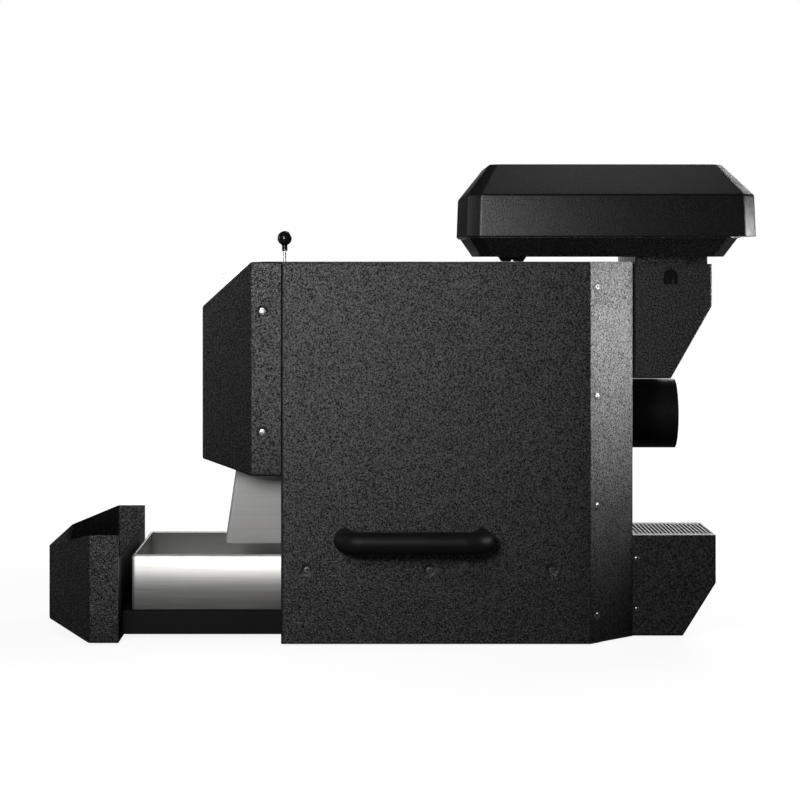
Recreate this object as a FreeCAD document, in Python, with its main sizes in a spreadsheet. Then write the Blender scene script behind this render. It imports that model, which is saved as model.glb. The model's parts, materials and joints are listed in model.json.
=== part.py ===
import FreeCAD, Part
import Sketcher
import math
import os
import re
from types import SimpleNamespace

# A home coffee bean roaster: a drum roaster with its cooling drawer drawn out at rest.
# Lengths are in mm and angles in degrees. Z is up from the table, X runs from the drawer
# to the exhaust, and the origin is under the middle of the whole machine.
# In this file x is measured from the front face of the casing, and put() moves each piece
# from there to its place about the origin.

SIZES = {
    # Casing
    "foot_proud": 2.0,
    "foot_radius": 10.0,
    "foot_plug_radius": 3.0,
    "foot_inset_side": 30.0,
    "foot_inset_front": 24.0,
    "foot_inset_rear": 60.0,
    "casing_width": 280.0,
    "casing_height": 382.0,
    "casing_length": 356.3,
    "corner_cut": 48.3,
    "sheet_wall": 1.2,
    "floor_wall": 1.6,
    "bulkhead_wall": 1.5,
    "panel_top_step": 1.5,
    "return_depth": 14.0,
    "bend_radius": 2.0,
    "seam_gap": 0.4,
    "wing_lap": 16.0,
    # Carrying handles and the raised plates behind them
    "handle_plate_start": 8.9,
    "handle_plate_length": 242.0,
    "handle_plate_height": 46.0,
    "handle_plate_wall": 0.8,
    "handle_height": 104.8,
    "handle_span": 137.0,
    "handle_middle": 131.4,
    "handle_reach": 34.0,
    "handle_radius": 11.0,
    "handle_bend": 17.0,
    # Screws
    "pan_head_radius": 4.0,
    "pan_head_height": 2.2,
    "shank_radius": 1.9,
    "shank_hole": 2.1,
    "shank_length": 6.0,
    "strip_screw_inset": 9.5,
    "strip_screw_top": 25.0,
    "strip_screw_pitch": 110.0,
    "dimple_radius": 6.5,
    "dimple_depth": 0.7,
    "dimple_head_radius": 4.2,
    "dimple_head_height": 0.9,
    "dimple_clearance": 0.3,
    "rail_screw_height": 74.0,
    "rail_screw_start": 24.9,
    "rail_screw_pitch": 122.5,
    "hood_screw_setback": 18.4,
    "hood_screw_low": 211.0,
    "hood_screw_pitch": 121.5,
    "cowl_screw_radius": 2.6,
    "cowl_screw_height": 1.6,
    "cowl_screw_low": 27.6,
    "cowl_screw_pitch": 51.5,
    "cowl_screw_setback": 4.5,
    # Front hood, hopper and gate
    "hood_gap": 1.2,
    "hood_flange": 29.9,
    "hood_depth": 52.0,
    "hood_bottom": 168.0,
    "hood_inset": 48.0,
    "hood_top_drop": 45.5,
    "hood_bottom_rise": 13.3,
    "panel_width": 120.0,
    "panel_height": 92.0,
    "panel_bottom": 212.0,
    "panel_wall": 3.0,
    "panel_clearance": 0.2,
    "panel_recess": 0.2,
    "board_wall": 1.6,
    "hopper_width": 79.0,
    "hopper_wall": 1.0,
    "hopper_tip_reach": 71.3,
    "hopper_tip_drop": 14.3,
    "hopper_back_reach": 35.1,
    "hopper_back_drop": 0.7,
    "hopper_cheek_height": 36.0,
    "hopper_clearance": 0.3,
    "hopper_end_gap": 5.0,
    "hopper_mouth_reach": 31.0,
    "hopper_mouth_lap": 12.0,
    "hopper_mouth_depth": 40.0,
    "gate_width": 82.0,
    "gate_wall": 1.6,
    "gate_offset": 1.5,
    "gate_bottom": 297.0,
    "gate_height": 45.0,
    "gate_clearance": 0.4,
    "guide_lip": 5.0,
    "guide_wall": 1.2,
    "guide_top_gap": 1.0,
    "gate_rod_radius": 1.5,
    "ferrule_radius": 3.0,
    "ferrule_height": 6.6,
    "ferrule_lift": 11.4,
    "ball_radius": 7.7,
    "ball_lift": 25.0,
    "charge_port_bottom": 302.0,
    "charge_port_height": 24.0,
    "charge_port_width": 75.0,
    # Discharge door and chute
    "door_port_bottom": 194.0,
    "door_port_height": 30.0,
    "door_port_width": 62.0,
    "door_width": 70.0,
    "door_lap": 3.0,
    "door_wall": 1.8,
    "door_gap": 0.5,
    "door_barrel_radius": 2.4,
    "door_pin_radius": 1.2,
    "door_ear_wall": 2.0,
    "chute_width": 110.0,
    "chute_wall": 1.0,
    "chute_back_gap": 0.5,
    "chute_bottom": 90.0,
    "chute_bottom_reach": 61.8,
    "chute_top_reach": 46.0,
    "chute_top": 202.0,
    # Cooling drawer
    "drawer_travel": 162.5,
    "drawer_gap": 1.5,
    "drawer_depth": 75.6,
    "drawer_flange": 29.7,
    "drawer_height": 108.0,
    "drawer_lift": 0.5,
    "drawer_inset": 48.0,
    "drawer_front_drop": 16.0,
    "drawer_front_rise": 17.5,
    "drawer_back_height": 83.5,
    "drawer_back_lift": 2.0,
    "drawer_hem": 4.5,
    "bay_width": 206.0,
    "bay_height": 88.5,
    "tray_width": 198.0,
    "tray_height": 57.0,
    "tray_length": 233.0,
    "tray_wall": 1.0,
    "tray_lift": 27.0,
    "tray_setback": 9.4,
    "tray_ledge": 7.0,
    "floor_clearance": 0.2,
    "floor_slot_width": 2.6,
    "floor_slot_pitch": 7.0,
    "floor_slot_rows": 3,
    "floor_slot_count": 31,
    "floor_slot_gap": 8.0,
    "base_lift": 3.0,
    "rail_height": 12.0,
    "rail_wall": 1.5,
    "rail_length": 222.0,
    "rail_setback": 3.0,
    "rail_clearance": 0.3,
    "runner_length": 72.0,
    "runner_depth": 20.0,
    # Drum, oven and drive
    "drum_height": 265.0,
    "drum_radius": 75.0,
    "drum_wall": 1.5,
    "drum_length": 190.0,
    "drum_front_gap": 1.0,
    "drum_rear_gap": 6.0,
    "drum_back_wall": 2.0,
    "drum_vent_radius": 11.0,
    "drum_vent_circle": 42.0,
    "drum_vent_count": 6,
    "vane_height": 16.0,
    "vane_wall": 1.2,
    "vane_length": 165.0,
    "vane_count": 3,
    "oven_radius": 90.0,
    "oven_depth": 155.0,
    "oven_wall": 1.2,
    "oven_plate_wall": 3.0,
    "shaft_radius": 6.0,
    "shaft_flange_radius": 20.0,
    "shaft_flange_wall": 4.0,
    "shaft_bore_gap": 1.0,
    "shaft_end": 2.0,
    "bearing_housing_radius": 20.0,
    "bearing_housing_length": 25.0,
    "bearing_radius": 14.0,
    "bearing_width": 8.0,
    "running_fit": 0.05,
    "gear_gap": 5.5,
    "gear_width": 8.0,
    "gear_module": 1.5,
    "gear_teeth": 64,
    "pinion_teeth": 20,
    "gear_backlash": 0.3,
    "motor_radius": 18.0,
    "motor_length": 52.0,
    "motor_shaft_radius": 3.0,
    "motor_shaft_depth": 12.0,
    "motor_shaft_end_gap": 1.0,
    "motor_window_gap": 2.0,
    "motor_plate_wall": 2.0,
    "motor_plate_gap": 3.0,
    "motor_plate_width": 48.0,
    "motor_post_radius": 3.0,
    "motor_post_inset": 5.0,
    "heater_radius": 6.0,
    "heater_spacing": 74.0,
    "heater_drop": 112.0,
    "heater_end_gap": 10.0,
    "holder_size": 18.0,
    "holder_length": 12.0,
    "reflector_wall": 1.0,
    "reflector_drop": 136.0,
    "probe_radius": 1.5,
    "probe_length": 45.0,
    "probe_nut_length": 3.0,
    "probe_side": 46.0,
    "probe_drop": 20.0,
    # Air path and fans
    "drum_duct_width": 58.0,
    "drum_duct_height": 30.0,
    "drum_duct_lift": 55.0,
    "duct_wall": 1.2,
    "duct_width": 170.0,
    "duct_reach": 82.1,
    "duct_top_drop": 2.1,
    "duct_corner_drop": 43.1,
    "duct_bottom": 262.6,
    "duct_bottom_reach": 40.1,
    "divider_reach": 43.0,
    "divider_height": 306.0,
    "divider_gap": 1.0,
    "sight_slot_start": 32.6,
    "sight_slot_width": 14.5,
    "sight_slot_drop": 21.0,
    "sight_slot_height": 15.8,
    "return_port_bottom": 269.0,
    "return_port_height": 30.0,
    "spigot_radius": 36.5,
    "spigot_wall": 1.2,
    "spigot_length": 54.6,
    "spigot_height": 221.5,
    "spigot_flange_radius": 40.5,
    "spigot_flange_wall": 1.5,
    "fan_size": 80.0,
    "fan_depth": 25.0,
    "fan_rim": 2.5,
    "fan_hub_radius": 15.0,
    "fan_axle_radius": 2.0,
    "fan_boss_depth": 6.0,
    "fan_running_gap": 1.0,
    "fan_strut_width": 6.0,
    "fan_blade_root": 1.0,
    "fan_blade_width": 12.0,
    "fan_blade_wall": 1.8,
    "fan_blade_count": 7,
    "plenum_clearance": 1.5,
    "plenum_length": 88.0,
    "plenum_top": 304.0,
    "cooling_fan_size": 92.0,
    "cooling_fan_side": 36.0,
    "cooling_fan_height": 52.0,
    "cowl_width": 111.7,
    "cowl_near_side": 91.7,
    "cowl_reach": 85.2,
    "cowl_height": 103.0,
    "cowl_corner_height": 54.0,
    "cowl_bottom_reach": 51.4,
    "grille_clearance": 0.2,
    "grille_slot_width": 2.2,
    "grille_slot_pitch": 4.2,
    "grille_slot_count": 19,
    "grille_margin": 5.0,
    "grille_end": 13.5,
    # Chaff box
    "box_wall": 1.2,
    "box_lead": 167.6,
    "box_overhang": 104.1,
    "box_half_width": 123.0,
    "box_taper": 12.5,
    "box_corner": 12.0,
    "box_lift": 5.3,
    "box_height": 19.0,
    "box_rim_lap": 2.5,
    "lid_overhang": 121.0,
    "lid_length": 292.5,
    "lid_width": 270.0,
    "lid_gap": 1.4,
    "lid_band": 42.1,
    "lid_flare": 1.5,
    "lid_corner": 13.0,
    "lid_rise": 32.7,
    "lid_top_inset": 26.5,
    "lid_top_side_inset": 59.5,
    "lid_top_corner": 7.5,
    "lid_return": 15.0,
    "lid_seat_gap": 0.3,
    "collar_start": 4.0,
    "collar_length": 74.0,
    "collar_width": 160.0,
    "collar_depth": 12.0,
    "screen_height": 50.0,
    "screen_wall": 2.0,
    "screen_width": 196.0,
    "screen_slot_width": 4.0,
    "screen_slot_pitch": 8.0,
    "screen_slot_count": 22,
    "screen_margin": 8.0,
    "box_foot_setback": 37.0,
    "box_foot_top_length": 26.5,
    "box_foot_taper": 3.5,
    "box_foot_width": 60.0,
    "box_foot_gap": 0.3,
    "hinge_drop": 3.6,
    "hinge_setback": 11.3,
    "hinge_radius": 2.4,
    "hinge_pin_radius": 1.2,
    "hinge_knuckle": 24.0,
    "hinge_gap": 0.5,
    "hinge_leaf_wall": 1.0,
    # Power
    "inlet_side": 62.0,
    "inlet_height": 40.0,
    "inlet_width": 28.0,
    "inlet_rise": 20.0,
    "inlet_flange_width": 50.0,
    "inlet_flange_rise": 24.0,
    "inlet_flange_wall": 2.0,
    "inlet_depth": 26.0,
    "inlet_well": 18.0,
    "inlet_wall": 2.0,
    "inlet_blade_lift": 2.0,
    "inlet_blade_width": 4.0,
    "inlet_blade_wall": 2.0,
    "inlet_blade_length": 14.0,
    "inlet_blade_spacing": 7.0,
    "switch_side": 62.0,
    "switch_height": 76.0,
    "switch_width": 14.0,
    "switch_rise": 22.0,
    "switch_flange": 2.0,
    "switch_bezel": 1.5,
    "switch_depth": 18.0,
    "rocker_gap": 0.5,
    "rocker_proud": 2.8,
    "rocker_dip": 0.6,
    "rocker_back": 3.5,
    "rocker_back_half": 3.0,
    "rocker_pin_depth": 1.0,
    "rocker_pin_radius": 1.0,
    "power_board_start": 215.0,
    "power_board_length": 90.0,
    "power_board_bottom": 110.0,
    "power_board_height": 70.0,
    "power_board_standoff": 10.0,
    "power_board_post_radius": 3.0,
    "power_board_post_inset": 7.0,
}

DIAGONAL = math.sqrt(0.5)
ROOT_TWO = math.sqrt(2)
MITRE = math.tan(math.radians(22.5))
# How far a cutting tool runs past what it cuts
OVERCUT = 1
ARROWS = {"x": (1, 0, 0), "y": (0, 1, 0), "z": (0, 0, 1)}

# Places that several pieces share, as expressions of the sizes
SIDE = "(casing_width/2)"
INSIDE = "(casing_width/2 - sheet_wall)"
TOP = "(foot_proud + casing_height)"
FLOOR_TOP = "(foot_proud + floor_wall)"
ROOF = "(foot_proud + casing_height - sheet_wall)"
REAR = "casing_length"
REAR_INSIDE = "(casing_length - sheet_wall)"
WING = "(casing_length - corner_cut)"
HOOD_BACK = "(-hood_gap)"
HOOD_BEND = "(-hood_gap - hood_flange)"
HOOD_FRONT = "(-hood_gap - hood_flange - hood_depth)"
HOOD_LOW = "(foot_proud + hood_bottom)"
DRAWER_BACK = "(-drawer_travel - drawer_gap)"
DRAWER_LOW = "(foot_proud + drawer_lift)"
TRAY_FRONT = "(-drawer_travel - drawer_gap + tray_setback)"
TRAY_BACK = "(-drawer_travel - drawer_gap + tray_setback + tray_length)"
TRAY_LOW = "(foot_proud + tray_lift)"
TRAY_TOP = "(foot_proud + tray_lift + tray_height)"
BASE_LOW = "(foot_proud + base_lift)"
DRUM_Z = "(foot_proud + drum_height)"
OVEN_FRONT = "(bulkhead_wall + oven_plate_wall)"
DRUM_FRONT = "(bulkhead_wall + oven_plate_wall + drum_front_gap)"
DRUM_REAR = f"({DRUM_FRONT} + drum_length)"
OVEN_REAR = f"({DRUM_REAR} + drum_rear_gap)"
OVEN_BACK = f"({OVEN_REAR} + oven_plate_wall)"
OVEN_LOW = f"({DRUM_Z} - oven_depth)"
HOUSING_REAR = f"({OVEN_BACK} + bearing_housing_length)"
GEAR_FRONT = f"({HOUSING_REAR} + gear_gap)"
GEAR_REAR = f"({GEAR_FRONT} + gear_width)"
GEAR_CENTRES = "(gear_module*(gear_teeth + pinion_teeth)/2)"
MOTOR_PLATE = f"({GEAR_REAR} + motor_plate_gap)"
DUCT_HALF = "(duct_width/2)"
DUCT_TOP = "(foot_proud + casing_height - duct_top_drop)"
SPIGOT_Z = "(foot_proud + spigot_height)"
FAN_Z = "(foot_proud + cooling_fan_height)"
PLENUM_HALF = "(fan_size/2 + plenum_clearance)"
COWL_TOP = "(foot_proud + cowl_height)"
COWL_REAR = "(casing_length + cowl_reach)"
BOX_FRONT = "(casing_length - box_lead)"
BOX_REAR = "(casing_length + box_overhang)"
BOX_LOW = "(foot_proud + casing_height + box_lift)"
BOX_RIM = "(foot_proud + casing_height + box_lift + box_height)"
BOX_FOOT_FRONT = "(casing_length - box_lead + box_foot_setback)"
LID_LOW = "(foot_proud + casing_height + box_lift + box_height + lid_gap)"
COLLAR_FRONT = "(casing_length + collar_start)"
COLLAR_REAR = "(casing_length + collar_start + collar_length)"
HINGE_X = "(casing_length + lid_overhang - hinge_setback)"
HINGE_Z = f"({LID_LOW} - hinge_drop)"
GATE_FRONT = "(-gate_offset - gate_wall)"
GATE_MIDDLE = "(-gate_offset - gate_wall/2)"
BALL_Z = "(foot_proud + casing_height + ball_lift)"
DOOR_LOW = "(foot_proud + door_port_bottom - door_lap)"
DOOR_HINGE_Z = "(foot_proud + door_port_bottom + door_port_height + door_lap + door_barrel_radius)"
DOOR_HINGE_X = "(-door_gap - door_barrel_radius)"
RAIL_Z = "(foot_proud + rail_screw_height)"
ORIGIN_SHIFT = (
    "((drawer_travel + drawer_gap + drawer_depth - casing_length - lid_overhang)/2)"
)

WORD = re.compile(r"\b[a-z][a-z0-9_]*\b")
FUNCTIONS = ("sin", "cos", "tan", "sqrt")

doc = FreeCAD.newDocument("bean_roaster")
sheet = doc.addObject("Spreadsheet::Sheet", "Sizes")
nodes = []


def fill_sheet():
    """Write every driving size in the sheet under its own alias."""
    for row, (name, value) in enumerate(SIZES.items(), start=1):
        sheet.set(f"A{row}", name)
        sheet.set(f"B{row}", str(value))
        sheet.setAlias(f"B{row}", name)
    doc.recompute()


def size(name):
    """One driving size, read from the sheet."""
    return float(sheet.get(name))


def sizes():
    """Every driving size as a number, for shapes that are worked out point by point."""
    return SimpleNamespace(**{name: size(name) for name in SIZES})


def bound(text):
    """The expression with each size's name led by its sheet."""
    return WORD.sub(lambda m: m[0] if m[0] in FUNCTIONS else "Sizes." + m[0], text)


def bind(thing, prop, text):
    """Tie one property of an object to an expression of sizes."""
    thing.setExpression(prop, bound(text))


def put(thing, x, y, z):
    """Place an object, with x counted from the casing's front face."""
    bind(thing, "Placement.Base.x", f"({x}) + {ORIGIN_SHIFT}")
    bind(thing, "Placement.Base.y", y)
    bind(thing, "Placement.Base.z", z)


def keep(name, thing):
    """Make an object a finished sub-part under its own name."""
    thing.Label = name
    nodes.append(thing)
    return thing


def box(low, high):
    """Block between two opposite corners."""
    made = doc.addObject("Part::Box", "Block")
    for prop, a, b in zip(("Length", "Width", "Height"), low, high):
        bind(made, prop, f"({b}) - ({a})")
    put(made, *low)
    return made


def rod(axis, radius, start, end, across):
    """Round bar along an axis; across holds its two other coordinates in order."""
    made = doc.addObject("Part::Cylinder", "Round")
    arrow = FreeCAD.Vector(*ARROWS[axis])
    made.Placement.Rotation = FreeCAD.Rotation(FreeCAD.Vector(0, 0, 1), arrow)
    bind(made, "Radius", radius)
    bind(made, "Height", f"({end}) - ({start})")
    place = list(across)
    place.insert("xyz".index(axis), start)
    put(made, *place)
    return made


def stud(at, arrow, radius, start, end):
    """Round bar along any direction, between two distances from a point."""
    made = doc.addObject("Part::Cylinder", "Stud")
    made.Placement.Rotation = FreeCAD.Rotation(FreeCAD.Vector(0, 0, 1), FreeCAD.Vector(*arrow))
    bind(made, "Radius", radius)
    bind(made, "Height", f"({end}) - ({start})")
    put(made, *(f"({p}) + ({start})*({a})" for p, a in zip(at, arrow)))
    return made


def fused(*shapes):
    """One solid from several that touch."""
    made = doc.addObject("Part::MultiFuse", "Joined")
    made.Shapes = list(shapes)
    return made


def cut(base, *tools):
    """A solid with others taken away from it."""
    made = doc.addObject("Part::Cut", "Cut")
    made.Base = base
    made.Tool = tools[0] if len(tools) == 1 else fused(*tools)
    return made


def group(shapes):
    """Several separate solids as one sub-part."""
    made = doc.addObject("Part::Compound", "Group")
    made.Links = list(shapes)
    return made


def ring(axis, outer, inner, start, end, across):
    """Round tube along an axis."""
    whole = rod(axis, outer, start, end, across)
    return cut(whole, rod(axis, inner, f"({start}) - {OVERCUT}", f"({end}) + {OVERCUT}", across))


def new_body(x="0", y="0", z="0"):
    """An empty body whose own x starts at the casing's front face."""
    body = doc.addObject("PartDesign::Body", "Body")
    put(body, x, y, z)
    return body


def new_sketch(body, plane, offset):
    """A sketch on one of the body's own origin planes, moved along its normal."""
    sketch = body.newObject("Sketcher::SketchObject", "Outline")
    role = plane + "_Plane"
    origin_plane = next(f for f in body.Origin.OriginFeatures if f.Role == role)
    sketch.AttachmentSupport = [(origin_plane, "")]
    sketch.MapMode = "FlatFace"
    sign = "-" if plane == "XZ" else ""
    bind(sketch, "AttachmentOffset.Base.z", f"{sign}({offset})")
    return sketch


def corners(sketch, points):
    """Closed polygon, each corner a pair of expressions."""
    count = len(points)
    first = sketch.GeometryCount
    turn = [2 * math.pi * i / count for i in range(count)]
    guess = [FreeCAD.Vector(9 * math.cos(a), 9 * math.sin(a), 0) for a in turn]
    lines = [Part.LineSegment(guess[i - 1], guess[i]) for i in range(count)]
    sketch.addGeometry(lines, False)
    ties = []
    for i in range(count):
        ties.append(Sketcher.Constraint("Coincident", first + i - 1 + (count if i == 0 else 0), 2,
                                        first + i, 1))
    for i in range(count):
        ties.append(Sketcher.Constraint("DistanceX", -1, 1, first + i, 1, guess[i - 1].x))
        ties.append(Sketcher.Constraint("DistanceY", -1, 1, first + i, 1, guess[i - 1].y))
    start = sketch.ConstraintCount
    sketch.addConstraint(ties)
    for i, corner in enumerate(points):
        for j, text in enumerate(corner):
            bind(sketch, f"Constraints[{start + count + 2*i + j}]", text)


def circle(sketch, across, up, radius):
    """Circle in a sketch, its centre and radius tied to expressions."""
    index = sketch.addGeometry(Part.Circle(FreeCAD.Vector(5, 5, 0), FreeCAD.Vector(0, 0, 1), 3))
    start = sketch.ConstraintCount
    sketch.addConstraint([
        Sketcher.Constraint("DistanceX", -1, 1, index, 3, 5.0),
        Sketcher.Constraint("DistanceY", -1, 1, index, 3, 5.0),
        Sketcher.Constraint("Radius", index, 3.0),
    ])
    for i, text in enumerate((across, up, radius)):
        bind(sketch, f"Constraints[{start + i}]", text)


def pad(body, sketch, length):
    """Pad a sketch along its normal."""
    made = body.newObject("PartDesign::Pad", "Pad")
    made.Profile = sketch
    bind(made, "Length", length)
    body.Tip = made
    return made


def ring_at(x, half, low, high):
    """Four corners of an upright rectangle across X."""
    return [FreeCAD.Vector(x, *place)
            for place in ((-half, low), (half, low), (half, high), (-half, high))]


def plan_ring(front, rear, half, corner, z):
    """Eight corners of a level rectangle with its corners cut."""
    plan = ((front + corner, -half), (rear - corner, -half), (rear, corner - half),
            (rear, half - corner), (rear - corner, half), (front + corner, half),
            (front, half - corner), (front, corner - half))
    return [FreeCAD.Vector(x, y, z) for x, y in plan]


def faceted(rings):
    """Solid with flat faces between rings of corners that follow one another."""
    rims = [Part.Face(Part.makePolygon(ring + ring[:1])) for ring in (rings[0], rings[-1])]
    sides = []
    for first, second in zip(rings, rings[1:]):
        for i in range(len(first)):
            quad = [first[i - 1], first[i], second[i], second[i - 1]]
            sides.append(Part.Face(Part.makePolygon(quad + quad[:1])))
    solid = Part.makeSolid(Part.makeShell(rims + sides))
    if solid.Volume < 0:
        solid.reverse()
    return solid


def folded(outer_rings, inner_rings):
    """Sheet shell: a faceted solid less the faceted space inside it."""
    made = doc.addObject("Part::Feature", "Folded")
    made.Shape = faceted(outer_rings).cut(faceted(inner_rings))
    put(made, "0", "0", "0")
    return made


def prism(plane, points, low, high):
    """Body with one outline, padded between two distances along its plane's normal axis."""
    body = new_body()
    sketch = new_sketch(body, plane, high if plane == "XZ" else low)
    corners(sketch, points)
    pad(body, sketch, f"({high}) - ({low})")
    return body


def rounded(body, radius, picks):
    """Round the edges of the body's last feature that pass a test."""
    doc.recompute()
    base = body.Tip
    names = [f"Edge{i + 1}" for i, edge in enumerate(base.Shape.Edges) if picks(edge)]
    made = body.newObject("PartDesign::Fillet", "Rounded")
    made.Base = (base, names)
    bind(made, "Radius", radius)
    body.Tip = made


def shelled(body, wall, is_open, radius):
    """Hollow the body through its open faces, and round the outer edges away from them."""
    doc.recompute()
    base = body.Tip
    faces = base.Shape.Faces
    opened = [i for i, face in enumerate(faces) if is_open(face)]
    rims = [edge for i in opened for edge in faces[i].Edges]
    outer = [edge.CenterOfMass for edge in base.Shape.Edges
             if not any(edge.isSame(rim) for rim in rims)]
    made = body.newObject("PartDesign::Thickness", "Wall")
    made.Base = (base, [f"Face{i + 1}" for i in opened])
    bind(made, "Value", wall)
    made.Join = 1
    made.Reversed = True
    body.Tip = made
    if radius:
        rounded(body, radius, lambda edge: any(
            edge.CenterOfMass.distanceToPoint(point) < 0.01 for point in outer))


def faces_way(face, x, y, z):
    """Whether a flat face looks along a direction."""
    return face.normalAt(0, 0).dot(FreeCAD.Vector(x, y, z)) > 0.999


def is_upright(edge):
    """Whether an edge is a straight vertical one."""
    first, last = edge.Vertexes[0].Point, edge.Vertexes[-1].Point
    return abs(abs(last.z - first.z) - edge.Length) < 0.001


def screw(at, arrow, head_radius, head_height, sink="0"):
    """A screw as its head and shank, seated at a point and facing along an arrow."""
    top = f"({head_height}) - ({sink})"
    head = stud(at, arrow, head_radius, f"-({sink})", top)
    shank = stud(at, arrow, "shank_radius", "-shank_length", f"-({sink})")
    return fused(head, shank)


def screw_hole(at, arrow):
    """Clearance hole for a screw at the same place."""
    return stud(at, arrow, "shank_hole", "-shank_length", "shank_length")


def dimple(at, arrow):
    """Cone that presses a shallow dimple round a screw."""
    made = doc.addObject("Part::Cone", "Dimple")
    made.Placement.Rotation = FreeCAD.Rotation(FreeCAD.Vector(0, 0, 1), FreeCAD.Vector(*arrow))
    bind(made, "Radius1", "dimple_head_radius + dimple_clearance")
    bind(made, "Radius2", "dimple_radius + dimple_depth")
    bind(made, "Height", "2*dimple_depth")
    put(made, *(f"({p}) - dimple_depth*({a})" for p, a in zip(at, arrow)))
    return made


def strip_screw_places(side):
    """Seats of the pan-head screws down one chamfered wing, and the way they face."""
    along = f"({WING} + strip_screw_inset*{DIAGONAL})"
    across = f"{side}*({SIDE} - strip_screw_inset*{DIAGONAL})"
    first = f"({TOP} - strip_screw_top)"
    return [(along, across, f"{first} - {i}*strip_screw_pitch") for i in range(4)]


def rail_screw_places(side):
    """Seats of the dimpled screws that hold a drawer rail."""
    return [(f"rail_screw_start + {i}*rail_screw_pitch", f"{side}*{SIDE}", RAIL_Z)
            for i in range(3)]


def hood_screw_places(side):
    """Seats of the two dimpled screws on one side of the hood."""
    return [(f"{HOOD_BACK} - hood_screw_setback", f"{side}*{SIDE}",
             f"foot_proud + hood_screw_low + {i}*hood_screw_pitch") for i in range(2)]


def cowl_screw_places():
    """Seats of the two small screws on the cowl's near side."""
    return [(f"{REAR} + cowl_screw_setback", "-cowl_near_side",
             f"foot_proud + cowl_screw_low + {i}*cowl_screw_pitch") for i in range(2)]


def foot_places():
    """Centres of the four feet."""
    across = f"({SIDE} - foot_inset_side)"
    return [(along, f"{side}*{across}") for side in (-1, 1)
            for along in ("foot_inset_front", f"({REAR} - foot_inset_rear)")]


def casing_outline(front, inset, wing_inset):
    """Plan of the casing with its two chamfered rear corners; each inset is square to its sheet."""
    back = f"({REAR} - {inset})"
    wide = f"({SIDE} - {inset})"
    diagonal = f"({WING} + {SIDE} - ({wing_inset})*{ROOT_TWO})"
    bend = f"({diagonal} - {wide})"
    narrow = f"({diagonal} - {back})"
    return [(front, f"-{wide}"), (bend, f"-{wide}"), (back, f"-{narrow}"),
            (back, narrow), (bend, wide), (front, wide)]


def base_plate():
    """Floor that lies inside the side panels' returns and laps."""
    outline = casing_outline("sheet_wall", "sheet_wall", f"2*sheet_wall + seam_gap*{ROOT_TWO}")
    plate = prism("XY", outline, "foot_proud", FLOOR_TOP)
    holes = [rod("z", "foot_plug_radius", "0", f"{FLOOR_TOP} + {OVERCUT}", place)
             for place in foot_places()]
    keep("base_plate", cut(plate, *holes))


def rubber_feet():
    feet = []
    for place in foot_places():
        pad_disc = rod("z", "foot_radius", "0", "foot_proud", place)
        plug = rod("z", "foot_plug_radius", "foot_proud", FLOOR_TOP, place)
        feet.append(fused(pad_disc, plug))
    keep("rubber_feet", group(feet))


def side_panel(name, side):
    """Side sheet with a front return and a lap that lies inside the chamfered wing."""
    lap = f"wing_lap*{DIAGONAL}"
    end = f"({WING} - seam_gap)"
    step = f"sheet_wall*{ROOT_TWO}"
    edge = f"({SIDE} - {step} - seam_gap)"
    inner_end = f"({WING} - 2*{step} - 2*seam_gap + sheet_wall)"
    points = [
        ("0", f"{side}*({SIDE} - return_depth)"),
        ("0", f"{side}*{SIDE}"),
        (end, f"{side}*{SIDE}"),
        (end, f"{side}*{edge}"),
        (f"{end} + {lap}", f"{side}*({edge} - {lap})"),
        (f"{end} + {lap} - {step}/2", f"{side}*({edge} - {lap} - {step}/2)"),
        (inner_end, f"{side}*{INSIDE}"),
        ("sheet_wall", f"{side}*{INSIDE}"),
        ("sheet_wall", f"{side}*({SIDE} - return_depth)"),
    ]
    panel = prism("XY", points, "foot_proud", f"{TOP} - panel_top_step")
    sheet_side = size("casing_width") / 2
    rounded(panel, "bend_radius", lambda edge: is_upright(edge)
            and abs(edge.Vertexes[0].X) < 0.001
            and abs(abs(edge.Vertexes[0].Y) - sheet_side) < 0.001)
    out = (0, side, 0)
    tools = []
    for place in rail_screw_places(side):
        tools += [dimple(place, out), screw_hole(place, out)]
    wing_out = (DIAGONAL, side * DIAGONAL, 0)
    tools += [screw_hole(place, wing_out) for place in strip_screw_places(side)]
    keep(name, cut(panel, *tools))


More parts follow.
